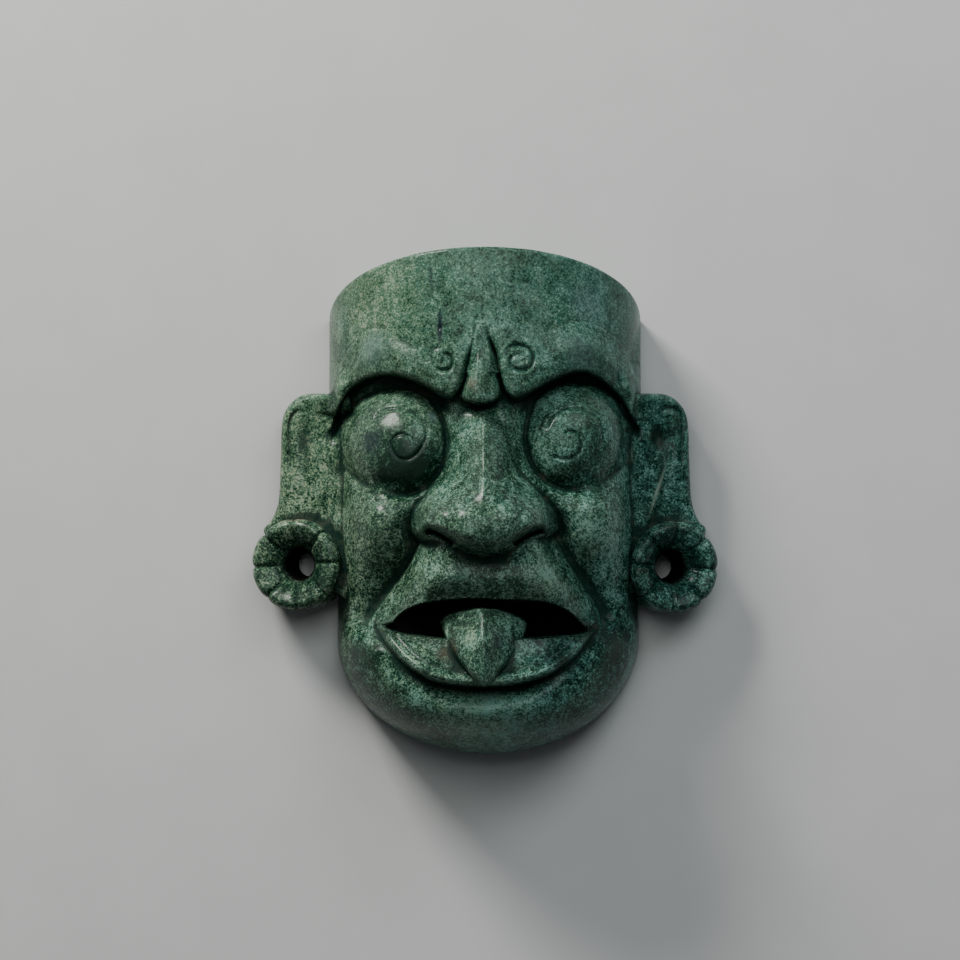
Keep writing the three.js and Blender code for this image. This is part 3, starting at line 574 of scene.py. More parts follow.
def profile(value, stations):
    """A smooth run through (place, height) stations, level beyond the ends"""
    places, heights = np.array(stations, float).T
    gaps = np.diff(places)
    slopes = np.diff(heights) / gaps
    ease = np.zeros(len(places))
    for i in range(1, len(places) - 1):
        before, after = slopes[i - 1], slopes[i]
        ease[i] = 0.0 if before * after <= 0 else 2 * before * after / (before + after)
    i = np.clip(np.searchsorted(places, value) - 1, 0, len(gaps) - 1)
    t = np.clip((value - places[i]) / gaps[i], 0.0, 1.0)
    return ((1 + 2 * t) * (1 - t) ** 2 * heights[i] + t * (1 - t) ** 2 * gaps[i] * ease[i]
            + t * t * (3 - 2 * t) * heights[i + 1] + t * t * (t - 1) * gaps[i] * ease[i + 1])


# The head

def midline(y):
    """The middle of the face, which turns aside towards the chin"""
    return CHIN_SHIFT * smooth_step(-CHIN_SHIFT_RUN, CHIN_SHIFT_RUN, -y)


def half_width(y, sizes):
    jaw, temple = sizes.jaw_half_width / MM, sizes.temple_half_width / MM
    return jaw + (temple - jaw) * smooth_step(*TEMPLE_RUN, y)


def head_radius(x, y, sizes):
    """How far out a place lies in the head's outline: none at the middle, one at the rim"""
    across = (x - midline(y)) / half_width(y, sizes)
    down = np.maximum(JAW_Y - y, 0.0) / CHIN_LENGTH
    return np.hypot(across, down)


def vault(radius, depth, roundness):
    return depth * np.maximum(1.0 - np.minimum(radius, 1.0) ** roundness, 0.0) ** (1.0 / roundness)


def under_crown(y, z, sizes):
    """How far a place lies under the flat cut of the crown"""
    return sizes.crown_y / MM + sizes.crown_slant * (z - sizes.crown_depth / MM) - y


def unevenness(x, y):
    """The slight waves that grinding by hand leaves"""
    bend = WAVE_BEND * np.sin(0.13 * x - 0.11 * y)
    return sum(WAVE_HEIGHT * np.sin(a * x + b * y + c + bend) for a, b, c in WAVES)


def brow_shapes(x, y):
    """How far a place lies above the brows' lower edge, and how far inside the nearer brow pad"""
    edge = np.vstack([smooth_line(BROW_EDGE_LEFT), smooth_line(BROW_EDGE_RIGHT), BEYOND_FOREHEAD])
    pads = [depth_inside(x, y, smooth_line(pad, True)) for pad in (BROW_PAD_LEFT, BROW_PAD_RIGHT)]
    return depth_inside(x, y, edge), np.maximum(*pads)


def forehead_height(x, y, radius, edge, pad, sizes):
    """The forehead with its brow pads and scrolls, rounded at the brows' lower edge"""
    drop = (sizes.forehead_depth - sizes.crown_depth) / MM
    stand = sizes.forehead_depth / MM - drop * smooth_step(*CROWN_FALL_RUN, y)
    height = vault(radius, stand, FOREHEAD_ROUNDNESS)
    height = height + BROW_TIP_RISE * smooth_step(*BROW_TIP_SHARES, radius) * smooth_step(*BROW_TIP_RUN, y)
    beyond_spine = PAD_BEYOND_SPINE * smooth_step(*PAD_SPINE_RUN, np.abs(x))
    rise = sizes.brow_rise / MM * (PAD_NEAR_SPINE + beyond_spine)
    step = RIGHT_STEP - RIGHT_STEP * smooth_step(*LEFT_SCROLL_RUN, x) + smooth_step(*LEFT_BROW_RUN, x)
    height = (height + PAD_STEP * rise * step * smooth_step(*PAD_STEP_RUN, pad)
              + PAD_SLOPE * rise * smooth_step(*PAD_SLOPE_RUN, pad))
    for line, width, depth in SCROLL_GROOVES:
        distance, ends = along_groove(x, y, smooth_line(line), SCROLL_ENDS)
        border = SCROLL_BORDER * depth * bell(distance - 2.0 * width, width)
        height = height - depth * bell(distance, width) * ends + border
    return height - rounded_edge(edge, FOREHEAD_BEVEL)


def eye_heights(x, y, sizes):
    """Each eye disc's height, how far up it a place lies, and the share of its radius"""
    discs = []
    for (cx, cy), (rx, ry), turn, lines in EYES:
        radius = np.hypot((x - cx) / rx, (y - cy) / ry)
        bulge = sizes.eye_bulge / MM * np.maximum(1.0 - np.minimum(radius, 1.0) ** 2, 0.0) ** EYE_ROUNDNESS
        bulge = bulge - EYE_SKIRT_SLOPE * np.maximum(radius - 1.0, 0.0)
        height = EYE_BASE + bulge - turn * (x - cx) - EYE_TILT * (y - cy)
        for line in lines:
            distance, ends = along_groove(x, y, smooth_line(line), EYE_LINE_ENDS)
            height = height - EYE_LINE_DEPTH * bell(distance, EYE_LINE_WIDTH) * ends
        discs.append((height, (y - cy) / ry, radius))
    return discs


def nose_height(x, y):
    """The roof of the nose above and its bulb below, cut away underneath"""
    ridge = profile(y, NOSE_RIDGE)
    across = np.sqrt((x - NOSE_X) ** 2 + NOSE_RIDGE_SOFTNESS) / profile(y, NOSE_HALF_WIDTH)
    skirt = NOSE_SKIRT_SLOPE * np.maximum(across - 1.0, 0.0)
    roof = ridge - (ridge - NOSE_FOOT) * (ROOF_STRAIGHT * across + ROOF_ROUND * across ** 3)
    dome = np.maximum(1.0 - np.minimum(across, 1.0) ** BULB_FLATNESS, 0.0) ** BULB_ROUNDNESS
    bulb = BULB_FOOT + (ridge - BULB_FOOT) * dome - skirt
    height = roof + (bulb - roof) * (1.0 - smooth_step(*BULB_RUN, y)) - skirt
    wing = bell(np.abs(x) - WING_GROOVE_X, WING_GROOVE_WIDTH)
    height = height - WING_GROOVE_DEPTH * wing * bell(y - WING_GROOVE_Y, WING_GROOVE_LENGTH)
    underside = NOSE_UNDERSIDE + NOSE_UNDERSIDE_SLOPE * (y - profile(x, NOSE_BOTTOM))
    return lower(height, underside, NOSE_TIP_BLEND)


def mouth_outline():
    return np.vstack([smooth_line(MOUTH_UPPER_EDGE), smooth_line(MOUTH_LOWER_EDGE)[1:-1]])


def with_sockets(height, x, edge, from_rim, discs):
    """Sinks the face under the brows and round the eye discs"""
    under = np.maximum(-edge, 0.0)
    bridge = 1.0 - BRIDGE_SHARE * bell(x, BRIDGE_WIDTH)
    share = from_rim + (1.0 - from_rim) * SOCKET_AT_RIM * bell(under, SOCKET_AT_RIM_REACH)
    height = height - share * SOCKET_DEPTH * bell(under, SOCKET_REACH) * bridge
    for _, up, away in discs:
        depth = MOAT_DEPTH + MOAT_TOP_DEPTH * smooth_step(*MOAT_TOP_RUN, up)
        moat = bell(np.maximum(away - 1.0, 0.0), MOAT_REACH) * depth
        height = height - from_rim * moat
        floor = np.minimum(height, EYE_FLOOR - EYE_FLOOR_TOP_DEPTH * smooth_step(*EYE_FLOOR_TOP_RUN, up))
        height = height + (floor - height) * smooth_step(*EYE_FLOOR_EDGE_RUN, away)
    return height


def with_muzzle(height, x, y, radius):
    """Cuts the furrows and raises the muzzle between them, rolled inwards at the upper lip"""
    inside = depth_inside(x, y, smooth_line(MUZZLE_OUTLINE, True))
    out = np.maximum(-inside, 0.0)
    furrow = sum(depth * bell(out, width) for depth, width in FURROWS)
    height = height - furrow * smooth_step(*FURROW_FOOT_RUN, y) * smooth_step(*FURROW_HEAD_RUN, -y)
    dip = DIP_DEPTH * bell(y - DIP_Y, DIP_HEIGHT) * bell(x, DIP_WIDTH)
    front = vault(radius, MUZZLE_DEPTH, MUZZLE_ROUNDNESS) - dip
    flank = height + FLANK_STEP + FLANK_SLOPE * np.maximum(inside, 0.0) * smooth_step(*FLANK_RUN, y)
    body = lower(flank, front, FLANK_BLEND)
    to_mouth, _ = line_distance(x, y, smooth_line(MOUTH_UPPER_EDGE))
    roll = np.maximum(1.0 - smooth_step(0.0, ROLL_WIDTH, to_mouth), 0.0) ** 2.0
    body = body - ROLL_DEPTH * roll * smooth_step(*ROLL_RUN, inside)
    rise = np.maximum(higher(height, body, MUZZLE_EDGE) - height, 0.0)
    return height + rise * np.clip(inside / MUZZLE_EDGE, 0.0, 1.0)


def with_nostrils(height, x, y):
    for slit in (NOSTRIL_LEFT, NOSTRIL_RIGHT):
        distance, ends = along_groove(x, y, smooth_line(slit), NOSTRIL_ENDS)
        height = height - NOSTRIL_DEPTH * bell(distance, NOSTRIL_WIDTH) * ends
    return height


def with_lower_lip(height, x, y, radius):
    """Cuts the groove under the lower lip and sets the lip's shelf in it"""
    rim = smooth_line(LIP_RIM)
    to_rim, _ = line_distance(x, y, rim)
    shelf = depth_inside(x, y, np.vstack([rim, smooth_line(MOUTH_LOWER_EDGE)[1:-1]]))
    groove = np.where(shelf > 0.0, 1.0, bell(to_rim, LIP_GROOVE_WIDTH))
    spread = LIP_GROOVE_AT_SIDES + LIP_GROOVE_IN_MIDDLE * bell(x, LIP_GROOVE_SPREAD)
    height = height - LIP_GROOVE * groove * smooth_step(*LIP_GROOVE_RUN, -y) * spread
    lip = vault(radius, LIP_DEPTH, LIP_ROUNDNESS) - LIP_BORDER * smooth_step(*LIP_BORDER_RUN, to_rim)
    corner = LIP_CORNER_DROP * smooth_step(*LIP_CORNER_RUN, np.abs(x))
    lip = lip - LIP_FALL * np.minimum(to_rim, LIP_FALL_WIDTH) - corner
    bevel = rounded_edge(np.maximum(shelf, 0.0), LIP_BEVEL)
    lip = lip - np.where(to_rim < LIP_BEVEL_REACH, bevel, 0.0)
    return laid_over(height, lip, shelf)


def with_open_mouth(height, x, y, sizes):
    floor = np.minimum(height, sizes.mouth_floor / MM)
    return height + (floor - height) * np.clip(0.5 + depth_inside(x, y, mouth_outline()), 0.0, 1.0)


def with_tooth(height, x, y):
    """Sets the pointed tooth over the mouth and the lower lip"""
    inside = depth_inside(x, y, smooth_line(TOOTH_OUTLINE, True))
    fall = TOOTH_FALL * np.sqrt((x - TOOTH_X) ** 2 + TOOTH_RIDGE_SOFTNESS)
    facets = profile(TOOTH_TOP - y, TOOTH_RIDGE) - fall - TOOTH_TURN * x - TOOTH_SWELL * x ** 2
    return laid_over(height, facets - rounded_edge(inside, TOOTH_BEVEL), inside)


def with_spine(height, x, y):
    """Raises the spine's web and blade between the brows, with the pit under its foot"""
    inside = depth_inside(x, y, smooth_line(SPINE_OUTLINE, True))
    down = np.clip((SPINE_TOP - y) / SPINE_LENGTH, 0.0, 1.0)
    web = WEB_HEIGHT + WEB_RISE * down - WEB_SIDE_SLOPE * np.maximum(-inside - WEB_MARGIN, 0.0)
    web = web - WEB_FOOT_SLOPE * np.maximum(WEB_FOOT - y, 0.0)
    height = higher(height, web, WEB_BLEND)
    fall = BLADE_FALL * np.sqrt((x - BLADE_X + BLADE_LEAN * down) ** 2 + 1.0)
    blade = BLADE_HEIGHT + BLADE_RISE * down - fall + BLADE_SIDE_SLOPE * np.minimum(inside, 0.0)
    above_foot = y - SPINE_FOOT - SPINE_FOOT_BOW * (x - SPINE_FOOT_MIDDLE) ** 2
    blade = blade - rounded_edge(np.maximum(above_foot, 0.0), BLADE_BEVEL)
    rise = higher(height, blade, BLADE_BLEND) - height
    height = height + rise * np.clip(0.5 + above_foot / SPINE_FOOT_WALL, 0.0, 1.0)
    return height - SPINE_PIT_DEPTH * swelling(x, y, SPINE_PIT, SPINE_PIT_SPREAD) * (inside < 0.0)


def with_marks(height, x, y):
    for line, width, depth in CREASES:
        distance, ends = along_groove(x, y, np.array(line), CREASE_ENDS)
        height = height - depth * bell(distance, width) * ends
    for cx, cy, size, depth in PITS:
        height = height - depth * bell(np.hypot(x - cx, y - cy), size)
    return height


def front_height(x, y, sizes):
    """The whole carved front, from the round of the face to its smallest marks"""
    radius = head_radius(x, y, sizes)
    from_rim = smooth_step(0.0, RIM_FADE, 1.0 - radius)
    edge, pad = brow_shapes(x, y)
    discs = eye_heights(x, y, sizes)

    height = vault(radius, FACE_DEPTH, FACE_ROUNDNESS)
    for centre, spread, rise in HILLS:
        height = height + rise * swelling(x, y, centre, spread)
    height = with_sockets(height, x, edge, from_rim, discs)
    height = with_muzzle(height, x, y, radius)
    height = higher(height, nose_height(x, y), NOSE_BLEND)
    height = with_nostrils(height, x, y)
    height = with_lower_lip(height, x, y, radius)
    height = with_open_mouth(height, x, y, sizes)
    height = with_tooth(height, x, y)
    for disc, _, _ in discs:
        height = higher(height, disc, EYE_BLEND)
    height = laid_over(height, forehead_height(x, y, radius, edge, pad, sizes), edge)
    height = with_spine(height, x, y)
    height = with_marks(height, x, y)
    height = height - rounded_edge(under_crown(y, height, sizes), CROWN_BEVEL)
    height = height + unevenness(x, y) * from_rim
    return np.maximum(height, vault(radius, LEAST_DEPTH, LEAST_ROUNDNESS))


# Meshes

def coordinates(mesh):
    flat = np.empty(len(mesh.vertices) * 3)
    mesh.vertices.foreach_get("co", flat)
    return flat.reshape(-1, 3)


def set_coordinates(mesh, places):
    mesh.vertices.foreach_set("co", np.asarray(places, np.float32).ravel())
    mesh.update()


def new_object(name, mesh):
    piece = bpy.data.objects.new(name, mesh)
    bpy.context.scene.collection.objects.link(piece)
    return piece


def mesh_from(bm, name):
    mesh = bpy.data.meshes.new(name)
    bm.to_mesh(mesh)
    bm.free()
    return mesh


def carved_block(name, across, along, place, back):
    """A grid laid out and raised by the function place, walled down to its back"""
    bm = bmesh.new()
    bmesh.ops.create_grid(bm, x_segments=across, y_segments=along, size=1.0)
    grid = np.array([v.co for v in bm.verts])
    x, y, z = place(grid[:, 0], grid[:, 1])
    for vert, spot in zip(bm.verts, np.column_stack([x, y, z])):
        vert.co = spot
    border = [e for e in bm.edges if e.is_boundary]
    wall = bmesh.ops.extrude_edge_only(bm, edges=border)["geom"]
    for vert in (g for g in wall if isinstance(g, bmesh.types.BMVert)):
        vert.co.z = back(vert.co.x)
    bmesh.ops.holes_fill(bm, edges=[e for e in bm.edges if e.is_boundary], sides=0)
    bmesh.ops.remove_doubles(bm, verts=bm.verts, dist=1e-4)
    bmesh.ops.recalc_face_normals(bm, faces=bm.faces)
    return mesh_from(bm, name)


def disc_place(a, b):
    """A place of the square from -1 to 1, moved into the unit disc: its radius and angle"""
    across = a * np.sqrt(1.0 - b * b / 2.0)
    up = b * np.sqrt(1.0 - a * a / 2.0)
    return np.minimum(np.hypot(across, up), 1.0), np.arctan2(up, across)


def towards_rim(radius):
    """Draws the grid closer together near the rim, where the surface falls steeply"""
    return 1.25 * radius - 0.25 * radius ** 5


def head_place(a, b, sizes):
    """Lays the square over the head: straight above the jaw, round the chin below"""
    chin_share = 0.3
    beyond_crown = 12.0
    v = (b + 1.0) / 2.0
    low = np.minimum(v / chin_share - 1.0, 0.0)
    across = a * np.sqrt(1.0 - low * low / 2.0)
    down = low * np.sqrt(1.0 - a * a / 2.0)
    radius = np.minimum(np.hypot(across, down), 1.0)
    spread = towards_rim(radius) / np.maximum(radius, 1e-9)
    rise = np.maximum(v - chin_share, 0.0) / (1.0 - chin_share) * (sizes.crown_y / MM + beyond_crown - JAW_Y)
    y = JAW_Y + down * spread * CHIN_LENGTH + rise
    return midline(y) + across * spread * half_width(y, sizes), y


def combined(target, other, operation):
    """Joins another closed mesh to the target or cuts the target by it, and uses the other up"""
    tool = new_object("tool", other)
    cut = target.modifiers.new("cut", "BOOLEAN")
    cut.operation = operation
    cut.solver = "MANIFOLD"
    cut.object = tool
    settled(target)
    bpy.data.objects.remove(tool)
    bpy.data.meshes.remove(other)


def settled(piece):
    """Applies the piece's modifiers to its mesh"""
    bpy.context.view_layer.update()
    graph = bpy.context.evaluated_depsgraph_get()
    mesh = bpy.data.meshes.new_from_object(piece.evaluated_get(graph), depsgraph=graph)
    old = piece.data
    piece.modifiers.clear()
    piece.data = mesh
    bpy.data.meshes.remove(old)
    if not len(mesh.polygons):
        raise RuntimeError(f"{piece.name} has lost its faces")


def the_stone():
    stone = bpy.data.objects.get("carved_jade_mask")
    if stone is None:
        raise RuntimeError("carve the head first")
    return stone


def crown_cutter(sizes):
    """A slab whose underside lies along the slanting cut of the crown"""
    bm = bmesh.new()
    bmesh.ops.create_cube(bm, size=1.0)
    bmesh.ops.translate(bm, verts=bm.verts, vec=(0.0, 0.5, 0.0))
    bmesh.ops.scale(bm, verts=bm.verts, vec=CROWN_CUTTER)
    slant = Matrix.Rotation(-math.atan(sizes.crown_slant), 3, "X")
    bmesh.ops.rotate(bm, verts=bm.verts, cent=(0.0, 0.0, 0.0), matrix=slant)
    bmesh.ops.translate(bm, verts=bm.verts, vec=Vector((0.0, sizes.crown_y, sizes.crown_depth)) / MM)
    return mesh_from(bm, "crown_cut")


class JADE_MASK_OT_carve_head(bpy.types.Operator):
    """Carve the face and forehead from a block and cut the crown flat"""

    bl_idname = "jade_mask.carve_head"
    bl_label = "Carve Head"

    def execute(self, context):
        sizes = context.scene.jade_mask_sizes
        cells = sizes.cells

        def place(a, b):
            x, y = head_place(a, b, sizes)
            on_rim = (np.abs(a) > 1.0 - 1e-6) | (b < -1.0 + 1e-6)
            return x, y, np.where(on_rim, 0.0, front_height(x, y, sizes))

        mesh = carved_block("carved_jade_mask", cells, cells * 8 // 5, place, lambda x: 0.0)
        combined(new_object("carved_jade_mask", mesh), crown_cutter(sizes), "DIFFERENCE")
        return {"FINISHED"}


def ear_back(x):
    return EAR_BACK + EAR_SLOPE * (EAR_OUTERMOST - np.abs(x))


def ear_joint(x, y, sizes):
    """The ear's strap, raised to meet the side of the head and notched under the brow's end"""
    radius = head_radius(x, y, sizes)
    middle = midline(y)
    beside = middle + (x - middle) * EAR_JOINT / radius
    away = np.abs(x - middle) * (1.0 - EAR_JOINT / radius)
    slope = front_height(beside, y, sizes) - EAR_JOINT_SLOPE * away
    height = higher(ear_back(x) + EAR_THICKNESS, slope, EAR_JOINT_BLEND)
    height = height - EAR_INSIDE_SLOPE * np.maximum(EAR_INSIDE - radius, 0.0)
    edge, _ = brow_shapes(x, y)
    notch = smooth_step(*NOTCH_WALL_RUN, edge) * bell(np.maximum(-edge, 0.0), NOTCH_REACH)
    notch = notch * bell(np.abs(x) - NOTCH_X, NOTCH_WIDTH) * smooth_step(*NOTCH_END_RUN, np.abs(x))
    return height - NOTCH_DEPTH * notch


class JADE_MASK_OT_add_ears(bpy.types.Operator):
    """Add the strap ears with their hooked grooves"""

    bl_idname = "jade_mask.add_ears"
    bl_label = "Add Ears"

    def execute(self, context):
        sizes = context.scene.jade_mask_sizes
        outline = smooth_line(EAR_OUTLINE, True, 6)
        centre = np.array(EAR_CENTRE)
        arms = outline - centre
        angles = np.arctan2(arms[:, 1], arms[:, 0])
        order = np.argsort(angles)
        reach = np.hypot(arms[order, 0], arms[order, 1])
        for side, hook in ((-1.0, EAR_HOOK_LEFT), (1.0, EAR_HOOK_RIGHT)):

            def place(a, b):
                radius, angle = disc_place(a, b)
                length = np.interp(angle, angles[order], reach, period=2.0 * math.pi)
                spot = centre + (towards_rim(radius) * length * np.array([np.cos(angle), np.sin(angle)])).T
                inside = depth_inside(spot[:, 0], spot[:, 1], outline)
                x, y = side * -spot[:, 0], spot[:, 1]
                return x, y, self.height(x, y, inside, hook, side, sizes)

            mesh = carved_block("ear", *EAR_CELLS, place, ear_back)
            combined(the_stone(), mesh, "UNION")
        return {"FINISHED"}

    def height(self, x, y, inside, hook, side, sizes):
        height = ear_joint(x, y, sizes)
        distance, ends = along_groove(x, y, smooth_line(hook), EAR_HOOK_ENDS)
        height = height - EAR_HOOK_DEPTH * bell(distance, EAR_HOOK_WIDTH) * ends
        height = height - EAR_PAN_DEPTH * swelling(np.abs(x), y, EAR_PAN, EAR_PAN_SPREAD)
        if side > 0.0:
            height = height - EAR_DENT_DEPTH * swelling(x, y, EAR_DENT, EAR_DENT_SPREAD)
            distance, share = line_distance(x, y, np.array(VEIN_RIGHT))
            height = height + VEIN_RISE * bell(distance, VEIN_WIDTH) * smooth_step(0.0, VEIN_END, 1.0 - share)
        return height - rounded_edge(inside, EAR_BEVEL) + unevenness(x, y)


def flare_stand(x, y, share):
    """Sets a thing at a flare's place, turned outwards by a share of its splay"""
    turn = Matrix.Rotation(math.copysign(FLARE_SPLAY, x) * share, 4, "Y")
    return Matrix.Translation((x, y, FLARE_Z)) @ turn


def bore_cutter(x, y, radius):
    """A cone, narrower behind, that bores a flare through"""
    bm = bmesh.new()
    bmesh.ops.create_cone(bm, cap_ends=True, segments=BORE_SEGMENTS, radius1=radius * BORE_BACK_SHARE,
                          radius2=radius * BORE_FRONT_SHARE, depth=BORE_LENGTH)
    hole = mesh_from(bm, "bore")
    hole.transform(flare_stand(x, y, BORE_TURN))
    return hole


class JADE_MASK_OT_add_flares(bpy.types.Operator):
    """Add the petalled ear flares and bore them through"""

    bl_idname = "jade_mask.add_flares"
    bl_label = "Add Flares"

    def execute(self, context):
        sizes = context.scene.jade_mask_sizes
        rim, bore = sizes.flare_radius / MM, sizes.bore_radius / MM
        for x, y in FLARES:

            def place(a, b):
                radius, angle = disc_place(a, b)
                away = towards_rim(radius) * rim
                return self.petals(away, angle, rim, bore, math.copysign(PETAL_START, x))

            mesh = carved_block("flare", FLARE_CELLS, FLARE_CELLS, place, lambda x: FLARE_BACK)
            mesh.transform(flare_stand(x, y, 1.0))
            combined(the_stone(), mesh, "UNION")
            combined(the_stone(), bore_cutter(x, y, bore), "DIFFERENCE")
        return {"FINISHED"}

    def petals(self, away, angle, rim, bore, start):
        """A flare's face: petals parted by grooves, round a funnel that leads into the bore"""
        turns = (angle / (2.0 * math.pi) * PETALS + start) % 1.0
        across = 2.0 * np.abs(turns - 0.5)
        from_line = (1.0 - across) / PETALS * math.pi * away
        lobe = np.maximum(1.0 - across ** 4, 0.0)
        out = away - PETAL_SCALLOP * (1.0 - lobe) * np.minimum(away / rim, 1.0) ** 6
        height = profile(away, [(0.0, -6.0), (bore - 0.8, -3.5), (bore + 1.2, 0.2), (9.5, 3.0), (13.0, 5.2),
                                (15.0, 5.9), (rim - 1.0, 5.2), (rim, 3.6)])
        height = height + PETAL_SWELL * (lobe - PETAL_MIDDLE) * smooth_step(bore, 12.0, away)
        groove = PETAL_GROOVE_DEPTH * bell(from_line, PETAL_GROOVE_WIDTH)
        height = height - groove * smooth_step(bore + 0.5, bore + 3.5, away)
        return out * np.cos(angle), out * np.sin(angle), height


def hollow_half_sizes(sizes):
    rim = sizes.rim_width / MM
    across = sizes.jaw_half_width / MM - rim
    along = (HOLLOW_TOP - JAW_Y + CHIN_LENGTH - rim) / 2.0
    return np.array([across, along, sizes.hollow_depth / MM])


class JADE_MASK_OT_hollow_back(bpy.types.Operator):
    """Hollow the back, leaving a flat rim"""

    bl_idname = "jade_mask.hollow_back"
    bl_label = "Hollow Back"

    def execute(self, context):
        sizes = context.scene.jade_mask_sizes
        bm = bmesh.new()
        bmesh.ops.create_uvsphere(bm, u_segments=HOLLOW_SEGMENTS, v_segments=HOLLOW_RINGS, radius=1.0)
        mesh = mesh_from(bm, "bowl")
        ball = coordinates(mesh)
        half = hollow_half_sizes(sizes)
        bowl = np.sign(ball) * np.abs(ball) ** (2.0 / HOLLOW_SQUARENESS) * half
        x, y, z = bowl.T
        wave = HOLLOW_WAVE * np.sin(0.35 * x + 0.21 * y) * np.sin(0.27 * y - 0.1 * x)
        bowl[:, 2] = z + wave * smooth_step(*HOLLOW_WAVE_RUN, z)
        bowl[:, 1] += HOLLOW_TOP - half[1]
        set_coordinates(mesh, bowl)
        combined(the_stone(), mesh, "DIFFERENCE")
        return {"FINISHED"}


class JADE_MASK_OT_finish_stone(bpy.types.Operator):
    """Thin the mesh, lean it back, measure its recesses and give it its stone"""

    bl_idname = "jade_mask.finish_stone"
    bl_label = "Finish Stone"

    def execute(self, context):
        sizes = context.scene.jade_mask_sizes
        stone = the_stone()
        thin_out(stone, sizes.faces)
        mesh = stone.data
        mesh.name = stone.name
        places = coordinates(mesh)
        behind = behind_faces(mesh, sizes)
        dark = unlit(places)
        leaned = places.copy()
        leaned[:, 1] += CENTRE_Y - sizes.lean * places[:, 2]
        set_coordinates(mesh, leaned * MM)
        give_finishes(mesh, behind, dark, context.scene.jade_mask_colours)
        mesh.polygons.foreach_set("use_smooth", np.ones(len(mesh.polygons), bool))
        mesh.set_sharp_from_angle(angle=math.radians(SHARP_ANGLE))
        store(mesh, "unlit", dark)
        measure_recesses(mesh)
        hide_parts("jade_mask")
        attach(stone, "root")
        return {"FINISHED"}


def thin_out(piece, faces):
    """Thins a piece's mesh to a number of triangles"""
    triangles = sum(len(p.vertices) - 2 for p in piece.data.polygons)
    thin = piece.modifiers.new("thin", "DECIMATE")
    thin.ratio = min(faces / triangles, 1.0)
    thin.use_collapse_triangulate = True
    settled(piece)


def give_finishes(mesh, behind, dark, colours):
    """Polishes the front, grinds the back and gives the faces deep in the mouth and bores a dull finish under
    painted shade
    """
    mesh.materials.clear()
    for finish in (polished_jade, ground_jade, painted_shade_jade):
        mesh.materials.append(finish(colours))
    polished, ground, painted_shade_kind = range(3)
    corners = np.array([p.vertices[:3] for p in mesh.polygons])
    kinds = np.where(behind, ground, np.where(dark[corners].mean(axis=1) > PAINTED_SHADE_SHARE, painted_shade_kind, polished))
    mesh.polygons.foreach_set("material_index", kinds.astype(np.int32))


def behind_faces(mesh, sizes):
    """Which faces lie on the flat rim or in the hollow"""
    centres = np.empty(len(mesh.polygons) * 3)
    mesh.polygons.foreach_get("center", centres)
    x, y, z = centres.reshape(-1, 3).T
    half = hollow_half_sizes(sizes)
    inside = (np.abs(x / half[0]) ** HOLLOW_SQUARENESS + np.abs(z / half[2]) ** HOLLOW_SQUARENESS
              + np.abs((y - HOLLOW_TOP + half[1]) / half[1]) ** HOLLOW_SQUARENESS)
    return (z < RIM_TOLERANCE) | (inside < HOLLOW_MARGIN)


def mouth_dark(x, y, z):
    """How much painted shade a place takes in the open mouth, fading out round it; the tooth keeps its light
    """
    inside = depth_inside(x, y, mouth_outline())
    beside_tooth = -depth_inside(x, y, smooth_line(TOOTH_OUTLINE, True))
    within = smooth_step(*MOUTH_DARK_RUN, np.minimum(inside, beside_tooth))
    within = within * smooth_step(*MOUTH_DARK_TOP_RUN, z)
    fading = np.where(inside < MOUTH_FADE_END, MOUTH_FADE * smooth_step(*MOUTH_FADE_RUN, inside), 0.0)
    fading = fading * smooth_step(*MOUTH_FADE_TOP_RUN, z)
    return np.maximum(within, fading)


def bore_dark(places, x, y):
    """How much painted shade each place takes in the bore of the flare that stands at x and y"""
    turned = np.array(flare_stand(x, y, BORE_TURN).inverted())
    across, up, along = (places @ turned[:3, :3].T + turned[:3, 3]).T
    away = np.hypot(across, up)
    return smooth_step(*BORE_DARK_RUN, away) * smooth_step(*BORE_DARK_DEPTH_RUN, along)


def unlit(places):
    """How much painted shade each place takes in the open mouth or in a flare's bore"""
    lowest, highest = MOUTH_BOX
    near = np.all((places > lowest) & (places < highest), axis=1)
    dark = np.zeros(len(places))
    dark[near] = mouth_dark(*places[near].T)
    for x, y in FLARES:
        dark = np.maximum(dark, bore_dark(places, x, y))
    return dark


def store(mesh, name, values):
    layer = mesh.attributes.new(name, "FLOAT", "POINT")
    layer.data.foreach_set("value", np.clip(values, 0.0, 1.0).astype(np.float32))


def measure_recesses(mesh):
    """Stores how hollow or how proud each place is, in a fine and a broad measure"""
    count = len(mesh.vertices)
    ends = np.empty(len(mesh.edges) * 2, np.int64)
    mesh.edges.foreach_get("vertices", ends)
    a, b = ends.reshape(-1, 2).T
    shares = np.bincount(a, minlength=count) + np.bincount(b, minlength=count)
    normals = np.empty(count * 3)
    mesh.vertex_normals.foreach_get("vector", normals)
    normals = normals.reshape(-1, 3)
    start = coordinates(mesh) / MM
    places = start.copy()
    for name, rounds, full in RECESS_MEASURES:
        for _ in range(rounds):
            total = np.column_stack([
                np.bincount(a, places[b, k], count) + np.bincount(b, places[a, k], count) for k in range(3)])
            places = total / np.maximum(shares, 1)[:, None]
        depth = np.einsum("ij,ij->i", places - start, normals) / full
        store(mesh, name, 0.5 + 0.5 * depth)


# Stone and studio finishes

def feed(tree, value, socket):
    if isinstance(value, bpy.types.NodeSocket):
        tree.links.new(value, socket)
    else:
        socket.default_value = value


def work(tree, operation, *values):
    """A sum, product or other working of two or three values"""
    made = tree.nodes.new("ShaderNodeMath")
    made.operation = operation
    for socket, value in zip(made.inputs, values):
        feed(tree, value, socket)
    return made.outputs[0]


